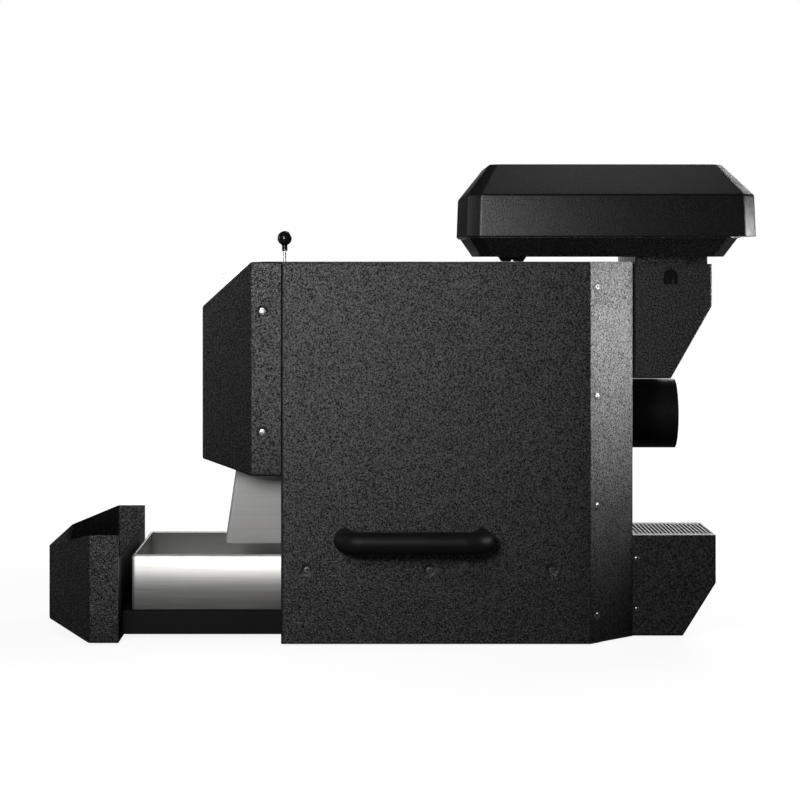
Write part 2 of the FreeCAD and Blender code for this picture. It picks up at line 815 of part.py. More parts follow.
def rear_panel():
    """Rear sheet bent forward at both sides into the chamfered wings."""
    outer = casing_outline("0", "0", "0")[1:5]
    inner = casing_outline("0", "sheet_wall", "sheet_wall")[1:5]
    edge = f"({SIDE} - sheet_wall*{ROOT_TWO})"
    inner[0], inner[3] = (WING, f"-{edge}"), (WING, edge)
    panel = prism("XY", outer + inner[::-1], "foot_proud", ROOF)
    rear = size("casing_length")
    rounded(panel, "bend_radius", lambda edge: is_upright(edge)
            and abs(edge.Vertexes[0].X - rear) < 0.001)
    before, after = f"{REAR_INSIDE} - {OVERCUT}", f"{REAR} + {OVERCUT}"
    across_duct = "drum_duct_width/2 - duct_wall"
    duct_low = f"{DRUM_Z} + drum_duct_lift + duct_wall"
    duct_high = f"{DRUM_Z} + drum_duct_lift + drum_duct_height - duct_wall"
    tools = [
        rod("x", "spigot_radius - spigot_wall", before, after, ("0", SPIGOT_Z)),
        box((before, f"-({across_duct})", duct_low), (after, across_duct, duct_high)),
        box((before, f"-({across_duct})", "foot_proud + return_port_bottom"),
            (after, across_duct, "foot_proud + return_port_bottom + return_port_height")),
        rod("x", "cooling_fan_size/2 - fan_rim", before, after, ("-cooling_fan_side", FAN_Z)),
        box((before, "inlet_side - inlet_width/2 - panel_clearance",
             "foot_proud + inlet_height - inlet_rise/2 - panel_clearance"),
            (after, "inlet_side + inlet_width/2 + panel_clearance",
             "foot_proud + inlet_height + inlet_rise/2 + panel_clearance")),
        box((before, "switch_side - switch_width/2 - panel_clearance",
             "foot_proud + switch_height - switch_rise/2 - panel_clearance"),
            (after, "switch_side + switch_width/2 + panel_clearance",
             "foot_proud + switch_height + switch_rise/2 + panel_clearance")),
    ]
    for side in (-1, 1):
        out = (DIAGONAL, side * DIAGONAL, 0)
        tools += [screw_hole(place, out) for place in strip_screw_places(side)]
    keep("rear_panel", cut(panel, *tools))


def top_cover():
    keep("top_cover", prism("XY", casing_outline("0", "0", "0"), ROOF, TOP))


def handle_plate(side):
    """Thin raised plate behind a carrying handle."""
    face, outer = f"{side}*{SIDE}", f"{side}*({SIDE} + handle_plate_wall)"
    near, far = (outer, face) if side < 0 else (face, outer)
    middle, half = "foot_proud + handle_height", "handle_plate_height/2"
    return box(("handle_plate_start", near, f"{middle} - {half}"),
               ("handle_plate_start + handle_plate_length", far, f"{middle} + {half}"))


def carry_handle(side):
    """Round bar bent into a wide U, its legs standing on the raised plate."""
    z = "foot_proud + handle_height"
    left = "handle_middle - handle_span/2"
    right = "handle_middle + handle_span/2"
    foot = f"({SIDE} + handle_plate_wall)"
    knee = f"({foot} + handle_reach - handle_bend)"
    bar = f"({foot} + handle_reach)"
    low, high = (f"-{knee}", f"-{foot}") if side < 0 else (foot, knee)
    pieces = [
        rod("x", "handle_radius", f"{left} + handle_bend", f"{right} - handle_bend",
            (f"{side}*{bar}", z)),
    ]
    for along, inward, turn in ((left, 1, 180 if side < 0 else 90),
                                (right, -1, 270 if side < 0 else 0)):
        pieces.append(rod("y", "handle_radius", low, high, (along, z)))
        elbow = doc.addObject("Part::Torus", "Elbow")
        elbow.Angle3 = 90
        elbow.Placement.Rotation = FreeCAD.Rotation(FreeCAD.Vector(0, 0, 1), turn)
        bind(elbow, "Radius1", "handle_bend")
        bind(elbow, "Radius2", "handle_radius")
        put(elbow, f"{along} + {inward}*handle_bend", f"{side}*{knee}", z)
        pieces.append(elbow)
    return fused(*pieces)


def front_bulkhead():
    """Front wall of the casing, open at the drawer bay and at the drum's two ports."""
    edge = f"({SIDE} - return_depth)"
    wall = box(("0", f"-{edge}", FLOOR_TOP), ("bulkhead_wall", edge, ROOF))
    bay = box((f"-{OVERCUT}", "-bay_width/2", "foot_proud"),
              (f"bulkhead_wall + {OVERCUT}", "bay_width/2", "foot_proud + bay_height"))
    keep("front_bulkhead", cut(wall, bay, charge_port("-1"), door_port("-1"),
                               probe_hole("-1")))


def charge_port(start):
    """Opening that the hopper feeds."""
    return box((start, "-charge_port_width/2", "foot_proud + charge_port_bottom"),
               (f"{OVEN_FRONT} + {OVERCUT}", "charge_port_width/2",
                "foot_proud + charge_port_bottom + charge_port_height"))


def door_port(start):
    """Opening that the roasted beans leave by."""
    return box((start, "-door_port_width/2", "foot_proud + door_port_bottom"),
               (f"{OVEN_FRONT} + {OVERCUT}", "door_port_width/2",
                "foot_proud + door_port_bottom + door_port_height"))


def probe_hole(start):
    return rod("x", "probe_radius", start, f"{OVEN_FRONT} + {OVERCUT}",
               ("probe_side", f"{DRUM_Z} - probe_drop"))


def drum_front_plate():
    plate = oven_block("bulkhead_wall", OVEN_FRONT, "0")
    keep("drum_front_plate", cut(plate, charge_port("0"), door_port("0"), probe_hole("0")))


def bean_probe():
    """Temperature probe through the front plate into the bean bed."""
    place = ("probe_side", f"{DRUM_Z} - probe_drop")
    stem = rod("x", "probe_radius", "0", f"{OVEN_FRONT} + probe_length", place)
    nut = rod("x", "2*probe_radius", "-probe_nut_length", "0", place)
    keep("bean_probe", fused(stem, nut))


def front_hood():
    """Faceted sheet hood over the front of the drum."""
    s = sizes()
    wall, ease = s.sheet_wall, s.sheet_wall * MITRE
    low, high = s.foot_proud + s.hood_bottom, s.foot_proud + s.casing_height
    half = s.casing_width / 2
    bend = -s.hood_gap - s.hood_flange
    front = bend - s.hood_depth
    front_half = half - s.hood_inset
    front_low, front_high = low + s.hood_bottom_rise, high - s.hood_top_drop
    shell = folded(
        [ring_at(-s.hood_gap, half, low, high), ring_at(bend, half, low, high),
         ring_at(front, front_half, front_low, front_high)],
        [ring_at(wall, half - wall, low + wall, high - wall),
         ring_at(bend + ease, half - wall, low + wall, high - wall),
         ring_at(front + wall, front_half - ease, front_low + ease, front_high - ease)])
    half_hopper = "(hopper_width/2 + hopper_clearance)"
    half_chute = "(chute_width/2 + hopper_clearance)"
    half_panel = "panel_width/2"
    bottom = "foot_proud + panel_bottom"
    tools = [
        box((f"{HOOD_BEND} - hopper_mouth_reach", f"-{half_hopper}", f"{TOP} - hopper_mouth_depth"),
            (f"{HOOD_BEND} + hopper_mouth_lap", half_hopper, f"{TOP} + {OVERCUT}")),
        box(("-chute_bottom_reach", f"-{half_chute}", f"{HOOD_LOW} - {OVERCUT}"),
            ("0", half_chute, f"{HOOD_LOW} + hood_bottom_rise + sheet_wall")),
        box((f"{GATE_MIDDLE} - 2*gate_rod_radius", "-2*gate_rod_radius", f"{TOP} - 2*sheet_wall"),
            ("0", "2*gate_rod_radius", f"{TOP} + {OVERCUT}")),
        box((f"{HOOD_FRONT} - {OVERCUT}", f"-{half_panel}", bottom),
            (f"{HOOD_FRONT} + sheet_wall + {OVERCUT}", half_panel, f"{bottom} + panel_height")),
    ]
    for side in (-1, 1):
        for place in hood_screw_places(side):
            tools += [dimple(place, (0, side, 0)), screw_hole(place, (0, side, 0))]
    keep("front_hood", cut(shell, *tools))


def control_panel():
    """Flush glass panel in the hood's front."""
    half = "(panel_width/2 - panel_clearance)"
    low = "foot_proud + panel_bottom + panel_clearance"
    high = "foot_proud + panel_bottom + panel_height - panel_clearance"
    front = f"{HOOD_FRONT} + panel_recess"
    keep("control_panel", box((front, f"-{half}", low), (f"{front} + panel_wall", half, high)))


def control_board():
    """Board behind the control panel."""
    half = "(panel_width/2 - panel_clearance)"
    front = f"({HOOD_FRONT} + panel_recess + panel_wall)"
    return box((front, f"-{half}", "foot_proud + panel_bottom + panel_clearance"),
               (f"{front} + board_wall", half,
                "foot_proud + panel_bottom + panel_height - panel_clearance"))


def hopper_profile(floor_lift, spread):
    """Side view of the hopper: a floor at 45 degrees under two cheeks."""
    tip_x = f"(-hopper_tip_reach - {spread})"
    tip_z = f"({TOP} - hopper_tip_drop + {spread} + {floor_lift})"
    back_x = f"(-hopper_end_gap + {spread})"
    drop = f"(hopper_tip_reach - hopper_end_gap + 2*{spread})"
    return [
        (tip_x, tip_z),
        (back_x, f"{tip_z} - {drop}"),
        (back_x, f"{tip_z} - {drop} + hopper_cheek_height + {spread}"),
        (f"-hopper_back_reach + {spread}", f"{TOP} - hopper_back_drop + 2*{spread}"),
    ]


def hopper_chute():
    half = "hopper_width/2"
    outer = prism("XZ", hopper_profile("0", "0"), f"-{half}", half)
    inner_half = f"({half} - hopper_wall)"
    inner = prism("XZ", hopper_profile(f"hopper_wall*{ROOT_TWO}", "hopper_cheek_height"),
                  f"-{inner_half}", inner_half)
    keep("hopper_chute", cut(outer, inner))


def discharge_chute():
    """Spout below the hood: a front wall between two cheeks, open above, below and behind."""
    low, high = "(foot_proud + chute_bottom)", "(foot_proud + chute_top)"
    back = "-chute_back_gap"
    run = f"{OVERCUT}*(chute_bottom_reach - chute_top_reach)/({high} - {low})"
    outer = [(back, low), ("-chute_bottom_reach", low), ("-chute_top_reach", high), (back, high)]
    inner = [(f"{OVERCUT}", f"{low} - {OVERCUT}"),
             (f"-chute_bottom_reach - {run} + chute_wall", f"{low} - {OVERCUT}"),
             (f"-chute_top_reach + {run} + chute_wall", f"{high} + {OVERCUT}"),
             (f"{OVERCUT}", f"{high} + {OVERCUT}")]
    half, inner_half = "chute_width/2", "(chute_width/2 - chute_wall)"
    hollow = prism("XZ", inner, f"-{inner_half}", inner_half)
    keep("discharge_chute", cut(prism("XZ", outer, f"-{half}", half), hollow))


def charging_gate():
    """Slide over the charge port, lifted by its rod and ball knob."""
    half = "gate_width/2"
    low = "(foot_proud + gate_bottom)"
    high = "(foot_proud + gate_bottom + gate_height)"
    keep("gate_plate", box((GATE_FRONT, f"-{half}", low), ("-gate_offset", half, high)))
    middle = (GATE_MIDDLE, "0")
    ferrule_low = f"({TOP} + ferrule_lift)"
    stem = rod("z", "gate_rod_radius", high, ferrule_low, middle)
    ferrule = rod("z", "ferrule_radius", ferrule_low, f"{ferrule_low} + ferrule_height", middle)
    keep("gate_rod", group([stem, ferrule]))
    ball = doc.addObject("Part::Sphere", "Ball")
    bind(ball, "Radius", "ball_radius")
    put(ball, GATE_MIDDLE, "0", BALL_Z)
    flat = box((f"{GATE_MIDDLE} - ball_radius", "-ball_radius", f"{BALL_Z} - 2*ball_radius"),
               (f"{GATE_MIDDLE} + ball_radius", "ball_radius",
                f"{ferrule_low} + ferrule_height"))
    keep("gate_knob", cut(ball, flat))


def gate_guides():
    """Two folded strips on the bulkhead that the gate slides in."""
    guides = []
    low = "(foot_proud + gate_bottom)"
    high = f"({ROOF} - guide_top_gap)"
    for side in (-1, 1):
        inner = "(gate_width/2 - guide_lip)"
        outer = "(gate_width/2 + gate_clearance + guide_wall)"
        front = f"({GATE_FRONT} - gate_clearance - guide_wall)"
        span = (inner, outer) if side > 0 else (f"-{outer}", f"-{inner}")
        slot_outer = "(gate_width/2 + gate_clearance)"
        slot_inner = f"({inner} - {OVERCUT})"
        slot = (slot_inner, slot_outer) if side > 0 else (f"-{slot_outer}", f"-{slot_inner}")
        whole = box((front, span[0], low), ("0", span[1], high))
        channel = box((f"{GATE_FRONT} - gate_clearance", slot[0], f"{low} - {OVERCUT}"),
                      ("1", slot[1], f"{high} + {OVERCUT}"))
        guides.append(cut(whole, channel))
    keep("gate_guides", group(guides))


def discharge_door():
    """Flap over the discharge port, hung from a pin across its top."""
    half = "door_width/2"
    flap = box(("-door_gap - door_wall", f"-{half}", DOOR_LOW),
               ("-door_gap", half, DOOR_HINGE_Z))
    barrel = rod("y", "door_barrel_radius", f"-{half}", half, (DOOR_HINGE_X, DOOR_HINGE_Z))
    bore = rod("y", "door_pin_radius + running_fit", f"-{half} - {OVERCUT}", f"{half} + {OVERCUT}",
               (DOOR_HINGE_X, DOOR_HINGE_Z))
    keep("discharge_door", cut(fused(flap, barrel), bore))


def door_bracket():
    """Pin and two ears on the bulkhead that carry the discharge door."""
    half = "door_width/2"
    gap = "door_gap"
    pin = rod("y", "door_pin_radius", f"-{half} - {gap} - door_ear_wall",
              f"{half} + {gap} + door_ear_wall", (DOOR_HINGE_X, DOOR_HINGE_Z))
    reach = f"({DOOR_HINGE_X} - door_barrel_radius)"
    ears = []
    for side in (-1, 1):
        inner, outer = f"({half} + {gap})", f"({half} + {gap} + door_ear_wall)"
        span = (inner, outer) if side > 0 else (f"-{outer}", f"-{inner}")
        ears.append(box((reach, span[0], f"{DOOR_HINGE_Z} - door_barrel_radius"),
                        ("0", span[1], f"{DOOR_HINGE_Z} + door_barrel_radius")))
    keep("door_bracket", fused(pin, *ears))


def drawer_front():
    """Faceted sheet front of the drawer, open above as its finger grip."""
    s = sizes()
    wall, ease = s.sheet_wall, s.sheet_wall * MITRE
    low = s.foot_proud + s.drawer_lift
    high = low + s.drawer_height
    half = s.casing_width / 2
    back = -s.drawer_travel - s.drawer_gap
    bend, front = back - s.drawer_flange, back - s.drawer_depth
    front_half = half - s.drawer_inset
    front_low, front_high = low + s.drawer_front_rise, high - s.drawer_front_drop
    shell = folded(
        [ring_at(back, half, low, high), ring_at(bend, half, low, high),
         ring_at(front, front_half, front_low, front_high)],
        [ring_at(back + wall, half - wall, low + wall, high + wall),
         ring_at(bend + ease, half - wall, low + wall, high + wall),
         ring_at(front + wall, front_half - ease, front_low + ease, front_high + wall)])
    hems = []
    for side in (-1, 1):
        inner = f"({INSIDE} - drawer_hem)"
        span = (inner, INSIDE) if side > 0 else (f"-{INSIDE}", f"-{inner}")
        hems.append(box((f"{DRAWER_BACK} - sheet_wall", span[0],
                         f"{DRAWER_LOW} + sheet_wall"),
                        (DRAWER_BACK, span[1], f"{DRAWER_LOW} + drawer_height")))
    keep("drawer_front", fused(shell, *hems))


def drawer_back():
    """Plate that closes the back of the drawer front and carries the tray."""
    half = f"({INSIDE} - drawer_hem)"
    low = "(foot_proud + drawer_back_lift)"
    keep("drawer_back", box((f"{DRAWER_BACK} - sheet_wall", f"-{half}", low),
                            (DRAWER_BACK, half, f"{low} + drawer_back_height")))


def drawer_base():
    """Shallow air box under the tray, open at the rear."""
    half = "tray_width/2"
    outer = box((DRAWER_BACK, f"-{half}", BASE_LOW), (TRAY_BACK, half, TRAY_LOW))
    inner = box((f"{DRAWER_BACK} + sheet_wall", f"-({half} - sheet_wall)",
                 f"{BASE_LOW} + sheet_wall"),
                (f"{TRAY_BACK} + {OVERCUT}", f"({half} - sheet_wall)", f"{TRAY_LOW} - sheet_wall"))
    mouth_half = "(tray_width/2 - tray_ledge)"
    mouth = box((f"{TRAY_FRONT} + tray_ledge", f"-{mouth_half}", f"{TRAY_LOW} - 2*sheet_wall"),
                (f"{TRAY_BACK} - tray_ledge", mouth_half, f"{TRAY_LOW} + {OVERCUT}"))
    keep("drawer_base", cut(outer, inner, mouth))


def cooling_tray():
    """Steel bean tray whose ledge holds the slotted floor."""
    half = "tray_width/2"
    outer = box((TRAY_FRONT, f"-{half}", TRAY_LOW), (TRAY_BACK, half, TRAY_TOP))
    inner_half = f"({half} - tray_wall)"
    inner = box((f"{TRAY_FRONT} + tray_wall", f"-{inner_half}", f"{TRAY_LOW} + tray_wall"),
                (f"{TRAY_BACK} - tray_wall", inner_half, f"{TRAY_TOP} + {OVERCUT}"))
    mouth_half = f"({half} - tray_ledge)"
    mouth = box((f"{TRAY_FRONT} + tray_ledge", f"-{mouth_half}", f"{TRAY_LOW} - {OVERCUT}"),
                (f"{TRAY_BACK} - tray_ledge", mouth_half, f"{TRAY_TOP} + {OVERCUT}"))
    keep("cooling_tray", cut(outer, inner, mouth))


def tray_floor():
    """Slotted sheet that the beans cool on."""
    half = "(tray_width/2 - tray_wall - floor_clearance)"
    start = f"({TRAY_FRONT} + tray_wall + floor_clearance)"
    end = f"({TRAY_BACK} - tray_wall - floor_clearance)"
    low = f"({TRAY_LOW} + tray_wall)"
    body = new_body()
    plate = new_sketch(body, "XY", low)
    corners(plate, [(start, f"-{half}"), (end, f"-{half}"), (end, half), (start, half)])
    pad(body, plate, "tray_wall")
    wide = "((tray_width - 2*tray_ledge - (floor_slot_rows + 1)*floor_slot_gap)/floor_slot_rows)"
    first_x = f"({TRAY_FRONT} + tray_ledge + floor_slot_gap/2)"
    first_y = "(-tray_width/2 + tray_ledge + floor_slot_gap)"
    for row in range(int(size("floor_slot_rows"))):
        row_y = f"({first_y} + {row}*({wide} + floor_slot_gap))"
        slotted(body, (first_x, row_y), ("floor_slot_width", wide), low, "tray_wall",
                "floor_slot_count", "floor_slot_pitch")
    keep("tray_floor", body)


def slotted(body, start, extent, offset, wall, count, pitch):
    """Cut a row of equal slots along X in a level plate."""
    doc.recompute()
    (x, y), (wide, deep) = start, extent
    slot = new_sketch(body, "XY", offset)
    corners(slot, [(x, y), (f"{x} + {wide}", y), (f"{x} + {wide}", f"{y} + {deep}"),
                   (x, f"{y} + {deep}")])
    pattern(body, [pocket(body, slot, f"2*{wall}")], "X", count, pitch)


def pocket(body, sketch, depth):
    """Cut a sketch's outline through the plate that it lies under."""
    made = body.newObject("PartDesign::Pocket", "Pocket")
    made.Profile = sketch
    made.Reversed = True
    bind(made, "Length", depth)
    body.Tip = made
    return made


def pattern(body, originals, axis, count, pitch):
    """Repeat features in a row along one of the body's own axes."""
    made = body.newObject("PartDesign::LinearPattern", "Row")
    made.Originals = originals
    role = axis + "_Axis"
    origin_axis = next(f for f in body.Origin.OriginFeatures if f.Role == role)
    made.Direction = (origin_axis, [""])
    bind(made, "Occurrences", count)
    bind(made, "Length", f"({count} - 1)*({pitch})")
    body.Tip = made
    return made


def oven_block(start, end, inset):
    """Solid with the oven's arched outline, drawn in by an inset."""
    radius = f"(oven_radius - {inset})"
    arch = rod("x", radius, start, end, ("0", DRUM_Z))
    legs = box((start, f"-{radius}", f"{OVEN_LOW} + {inset}"), (end, radius, DRUM_Z))
    return fused(arch, legs)


def oven():
    """Arched oven shell round the drum, with its rear plate."""
    shell = cut(oven_block(OVEN_FRONT, OVEN_REAR, "0"),
                oven_block(f"{OVEN_FRONT} - {OVERCUT}", f"{OVEN_REAR} + {OVERCUT}", "oven_wall"))
    keep("oven_shell", shell)
    plate = oven_block(OVEN_REAR, OVEN_BACK, "0")
    vent_half = "(drum_duct_width/2 - duct_wall)"
    vent = box((f"{OVEN_REAR} - {OVERCUT}", f"-{vent_half}", f"{DRUM_Z} + drum_duct_lift + duct_wall"),
               (f"{OVEN_BACK} + {OVERCUT}", vent_half,
                f"{DRUM_Z} + drum_duct_lift + drum_duct_height - duct_wall"))
    bore = rod("x", "shaft_radius + shaft_bore_gap", f"{OVEN_REAR} - {OVERCUT}",
               f"{OVEN_BACK} + {OVERCUT}", ("0", DRUM_Z))
    keep("drum_rear_plate", cut(plate, vent, bore))


def drum():
    """Drum shell, its vented back, its vanes and the shaft that turns it."""
    axis = ("0", DRUM_Z)
    shell = ring("x", "drum_radius", "drum_radius - drum_wall", DRUM_FRONT, DRUM_REAR, axis)
    back_start = f"({DRUM_REAR} - drum_back_wall)"
    disc = rod("x", "drum_radius - drum_wall", back_start, DRUM_REAR, axis)
    vents = [rod("x", "shaft_radius", f"{back_start} - {OVERCUT}", f"{DRUM_REAR} + {OVERCUT}", axis)]
    for i in range(int(size("drum_vent_count"))):
        turn = 360 * i / int(size("drum_vent_count"))
        place = (f"drum_vent_circle*sin({turn})", f"{DRUM_Z} + drum_vent_circle*cos({turn})")
        vents.append(rod("x", "drum_vent_radius", f"{back_start} - {OVERCUT}", f"{DRUM_REAR} + {OVERCUT}",
                         place))
    keep("drum_shell", fused(shell, cut(disc, *vents)))
    vanes = []
    for i in range(int(size("vane_count"))):
        turn = 360 * i / int(size("vane_count"))
        vane = doc.addObject("Part::Box", "Vane")
        vane.Placement.Rotation = FreeCAD.Rotation(FreeCAD.Vector(1, 0, 0), turn)
        bind(vane, "Length", "vane_length")
        bind(vane, "Width", "vane_wall")
        bind(vane, "Height", "vane_height")
        foot = "(sqrt((drum_radius - drum_wall)^2 - vane_wall^2/4) - vane_height)"
        put(vane, f"{back_start} - vane_length",
            f"-{foot}*sin({turn}) - vane_wall/2*cos({turn})",
            f"{DRUM_Z} + {foot}*cos({turn}) - vane_wall/2*sin({turn})")
        vanes.append(vane)
    keep("drum_vanes", group(vanes))
    flange = rod("x", "shaft_flange_radius", DRUM_REAR, f"{DRUM_REAR} + shaft_flange_wall", axis)
    stem = rod("x", "shaft_radius", back_start, f"{GEAR_REAR} + shaft_end", axis)
    keep("drum_shaft", fused(flange, stem))


def bearings():
    """Sleeve behind the oven and the two bearings in it."""
    axis = ("0", DRUM_Z)
    keep("bearing_housing", ring("x", "bearing_housing_radius", "bearing_radius",
                                 OVEN_BACK, HOUSING_REAR, axis))
    inner = "shaft_radius + running_fit"
    front = ring("x", "bearing_radius", inner, OVEN_BACK, f"{OVEN_BACK} + bearing_width", axis)
    rear = ring("x", "bearing_radius", inner, f"{HOUSING_REAR} - bearing_width",
                HOUSING_REAR, axis)
    keep("shaft_bearings", group([front, rear]))


def toothed_wheel(teeth, bore, across, up, phase):
    """Involute spur wheel on an axis along X, its first tooth at a phase from +Y."""
    module, backlash, width = size("gear_module"), size("gear_backlash"), size("gear_width")
    pitch_radius = module * teeth / 2
    base_radius = pitch_radius * math.cos(math.radians(20))
    tip, root = pitch_radius + 0.9 * module, pitch_radius - 1.25 * module
    involute = math.tan(math.radians(20)) - math.radians(20)
    half_tooth = math.pi / (2 * teeth) - backlash / (2 * pitch_radius) + involute
    low = max(base_radius, root)
    flank = []
    for i in range(5):
        radius = low + (tip - low) * i / 4
        roll = math.acos(base_radius / radius)
        flank.append((radius, half_tooth - (math.tan(roll) - roll)))
    tooth = [(root, -flank[0][1])] + [(r, -a) for r, a in flank]
    tooth += [(r, a) for r, a in flank[::-1]] + [(root, flank[0][1])]
    points = []
    for i in range(teeth):
        middle = phase + 2 * math.pi * i / teeth
        points += [FreeCAD.Vector(0, r * math.cos(middle + a), r * math.sin(middle + a))
                   for r, a in tooth]
    wire = Part.makePolygon(points + points[:1])
    blank = Part.Face(wire).extrude(FreeCAD.Vector(width, 0, 0))
    if bore:
        along = FreeCAD.Vector(1, 0, 0)
        blank = blank.cut(Part.makeCylinder(bore, width, FreeCAD.Vector(), along))
    wheel = doc.addObject("Part::Feature", "Wheel")
    wheel.Shape = blank
    put(wheel, GEAR_FRONT, across, up)
    return wheel


def drive():
    """Drum gear, the pinion on its own stub, the gear motor and the plate it hangs on."""
    teeth, pinion_teeth = int(size("gear_teeth")), int(size("pinion_teeth"))
    keep("drum_gear", toothed_wheel(teeth, size("shaft_radius"), "0", DRUM_Z, 0))
    meshed = math.pi + math.pi / pinion_teeth
    pinion = toothed_wheel(pinion_teeth, 0, GEAR_CENTRES, DRUM_Z, meshed)
    place = (GEAR_CENTRES, DRUM_Z)
    plate_rear = f"({MOTOR_PLATE} + motor_plate_wall)"
    stub_end = f"({plate_rear} + motor_shaft_depth)"
    keep("motor_pinion", fused(pinion, rod("x", "motor_shaft_radius", GEAR_REAR, stub_end, place)))
    can = rod("x", "motor_radius", plate_rear, f"{plate_rear} + motor_length", place)
    socket = rod("x", "motor_shaft_radius + running_fit", f"{plate_rear} - {OVERCUT}",
                 f"{stub_end} + motor_shaft_end_gap", place)
    keep("gear_motor", cut(can, socket))
    half = "(motor_plate_width/2)"
    plate = box((MOTOR_PLATE, f"{GEAR_CENTRES} - {half}", f"{DRUM_Z} - {half}"),
                (plate_rear, f"{GEAR_CENTRES} + {half}", f"{DRUM_Z} + {half}"))
    window = rod("x", "motor_shaft_radius + motor_window_gap", f"{MOTOR_PLATE} - {OVERCUT}",
                 f"{plate_rear} + {OVERCUT}", place)
    posts = [rod("x", "motor_post_radius", OVEN_BACK, MOTOR_PLATE,
                 (f"{GEAR_CENTRES} + {half} - motor_post_inset",
                  f"{DRUM_Z} + {side}*({half} - motor_post_inset)")) for side in (-1, 1)]
    keep("motor_bracket", fused(cut(plate, window), *posts))


def heaters():
    """Quartz tubes under the drum, their ceramic holders and the reflector below."""
    z = f"({DRUM_Z} - heater_drop)"
    start, end = f"({OVEN_FRONT} + heater_end_gap)", f"({OVEN_REAR} - heater_end_gap)"
    tubes = []
    holders = []
    floor = f"({DRUM_Z} - reflector_drop + reflector_wall)"
    for side in (-1, 1):
        y = f"{side}*heater_spacing/2"
        tubes.append(rod("x", "heater_radius", start, end, (y, z)))
        for low in (start, f"{end} - holder_length"):
            block = box((low, f"{y} - holder_size/2", floor),
                        (f"{low} + holder_length", f"{y} + holder_size/2",
                         f"{z} + holder_size/2"))
            holders.append(cut(block, rod("x", "heater_radius", f"{low} - {OVERCUT}",
                                          f"{low} + holder_length + {OVERCUT}", (y, z))))
    keep("heaters", group(tubes + holders))
    half = "(oven_radius - oven_wall)"
    keep("heat_reflector", box((OVEN_FRONT, f"-{half}", f"{floor} - reflector_wall"),
                               (OVEN_REAR, half, floor)))


def square_tube(start, end, half, low, high, wall):
    """Rectangular duct along X."""
    outer = box((start, f"-{half}", low), (end, half, high))
    inner = box((f"{start} - {OVERCUT}", f"-({half} - {wall})", f"{low} + {wall}"),
                (f"{end} + {OVERCUT}", f"({half} - {wall})", f"{high} - {wall}"))
    return cut(outer, inner)


def drum_duct():
    low = f"({DRUM_Z} + drum_duct_lift)"
    keep("drum_duct", square_tube(OVEN_BACK, REAR_INSIDE, "(drum_duct_width/2)", low,
                                  f"({low} + drum_duct_height)", "duct_wall"))


def exhaust_duct():
    """Rear duct that lifts the smoke to the chaff box, open to the casing and above."""
    points = [
        (REAR, "foot_proud + duct_bottom"),
        (f"{REAR} + duct_bottom_reach", "foot_proud + duct_bottom"),
        (f"{REAR} + duct_reach", f"{DUCT_TOP} - duct_corner_drop"),
        (f"{REAR} + duct_reach", DUCT_TOP),
        (REAR, DUCT_TOP),
    ]
    body = prism("XZ", points, f"-{DUCT_HALF}", DUCT_HALF)
    shelled(body, "duct_wall", lambda face: faces_way(face, -1, 0, 0)
            or faces_way(face, 0, 0, 1), "bend_radius")
    low = f"{DUCT_TOP} - sight_slot_drop"
    half = "sight_slot_width/2"
    middle = f"{REAR} + sight_slot_start + {half}"
    crown = f"{low} + sight_slot_height - {half}"
    outside, within = f"-{DUCT_HALF} - {OVERCUT}", f"-{DUCT_HALF} + duct_wall + {OVERCUT}"
    slot = fused(box((f"{middle} - {half}", outside, low), (f"{middle} + {half}", within, crown)),
                 rod("y", half, outside, within, (middle, crown)))
    keep("exhaust_duct", group([cut(body, slot), duct_divider()]))


def duct_divider():
    """Bent plate that parts the rising smoke from the cleaned air."""
    half = f"({DUCT_HALF} - duct_wall)"
    low = "(foot_proud + divider_height)"
    shelf = box((REAR, f"-{half}", low), (f"{REAR} + divider_reach", half, f"{low} + duct_wall"))
    wall = box((f"{REAR} + divider_reach - duct_wall", f"-{half}", low),
               (f"{REAR} + divider_reach", half, f"{DUCT_TOP} - collar_depth - divider_gap"))
    return fused(shelf, wall)


def exhaust_spigot():
    axis = ("0", SPIGOT_Z)
    bore = "spigot_radius - spigot_wall"
    flange = rod("x", "spigot_flange_radius", REAR, f"{REAR} + spigot_flange_wall", axis)
    pipe = rod("x", "spigot_radius", REAR, f"{REAR} + spigot_length", axis)
    hole = rod("x", bore, f"{REAR} - {OVERCUT}", f"{REAR} + spigot_length + {OVERCUT}", axis)
    keep("exhaust_spigot", cut(fused(flange, pipe), hole))


def fan_frame(frame_size, front, y, z):
    """Square fan frame with a bore, a crossed spider, its boss and the fixed axle."""
    half = f"({frame_size}/2)"
    bore = f"({frame_size}/2 - fan_rim)"
    rear = f"{front} + fan_depth"
    block = box((front, f"{y} - {half}", f"{z} - {half}"), (rear, f"{y} + {half}", f"{z} + {half}"))
    hollow = cut(block, rod("x", bore, f"{front} - {OVERCUT}", f"{rear} + {OVERCUT}", (y, z)))
    thin = "fan_strut_width/2"
    strut_rear = f"{front} + fan_boss_depth"
    upright = box((front, f"{y} - {thin}", f"{z} - {half}"),
                  (strut_rear, f"{y} + {thin}", f"{z} + {half}"))
    level = box((front, f"{y} - {half}", f"{z} - {thin}"),
                (strut_rear, f"{y} + {half}", f"{z} + {thin}"))
    boss = rod("x", "fan_hub_radius", front, strut_rear, (y, z))
    axle = rod("x", "fan_axle_radius", strut_rear, f"{rear} - fan_running_gap", (y, z))
    return fused(hollow, upright, level, boss, axle)


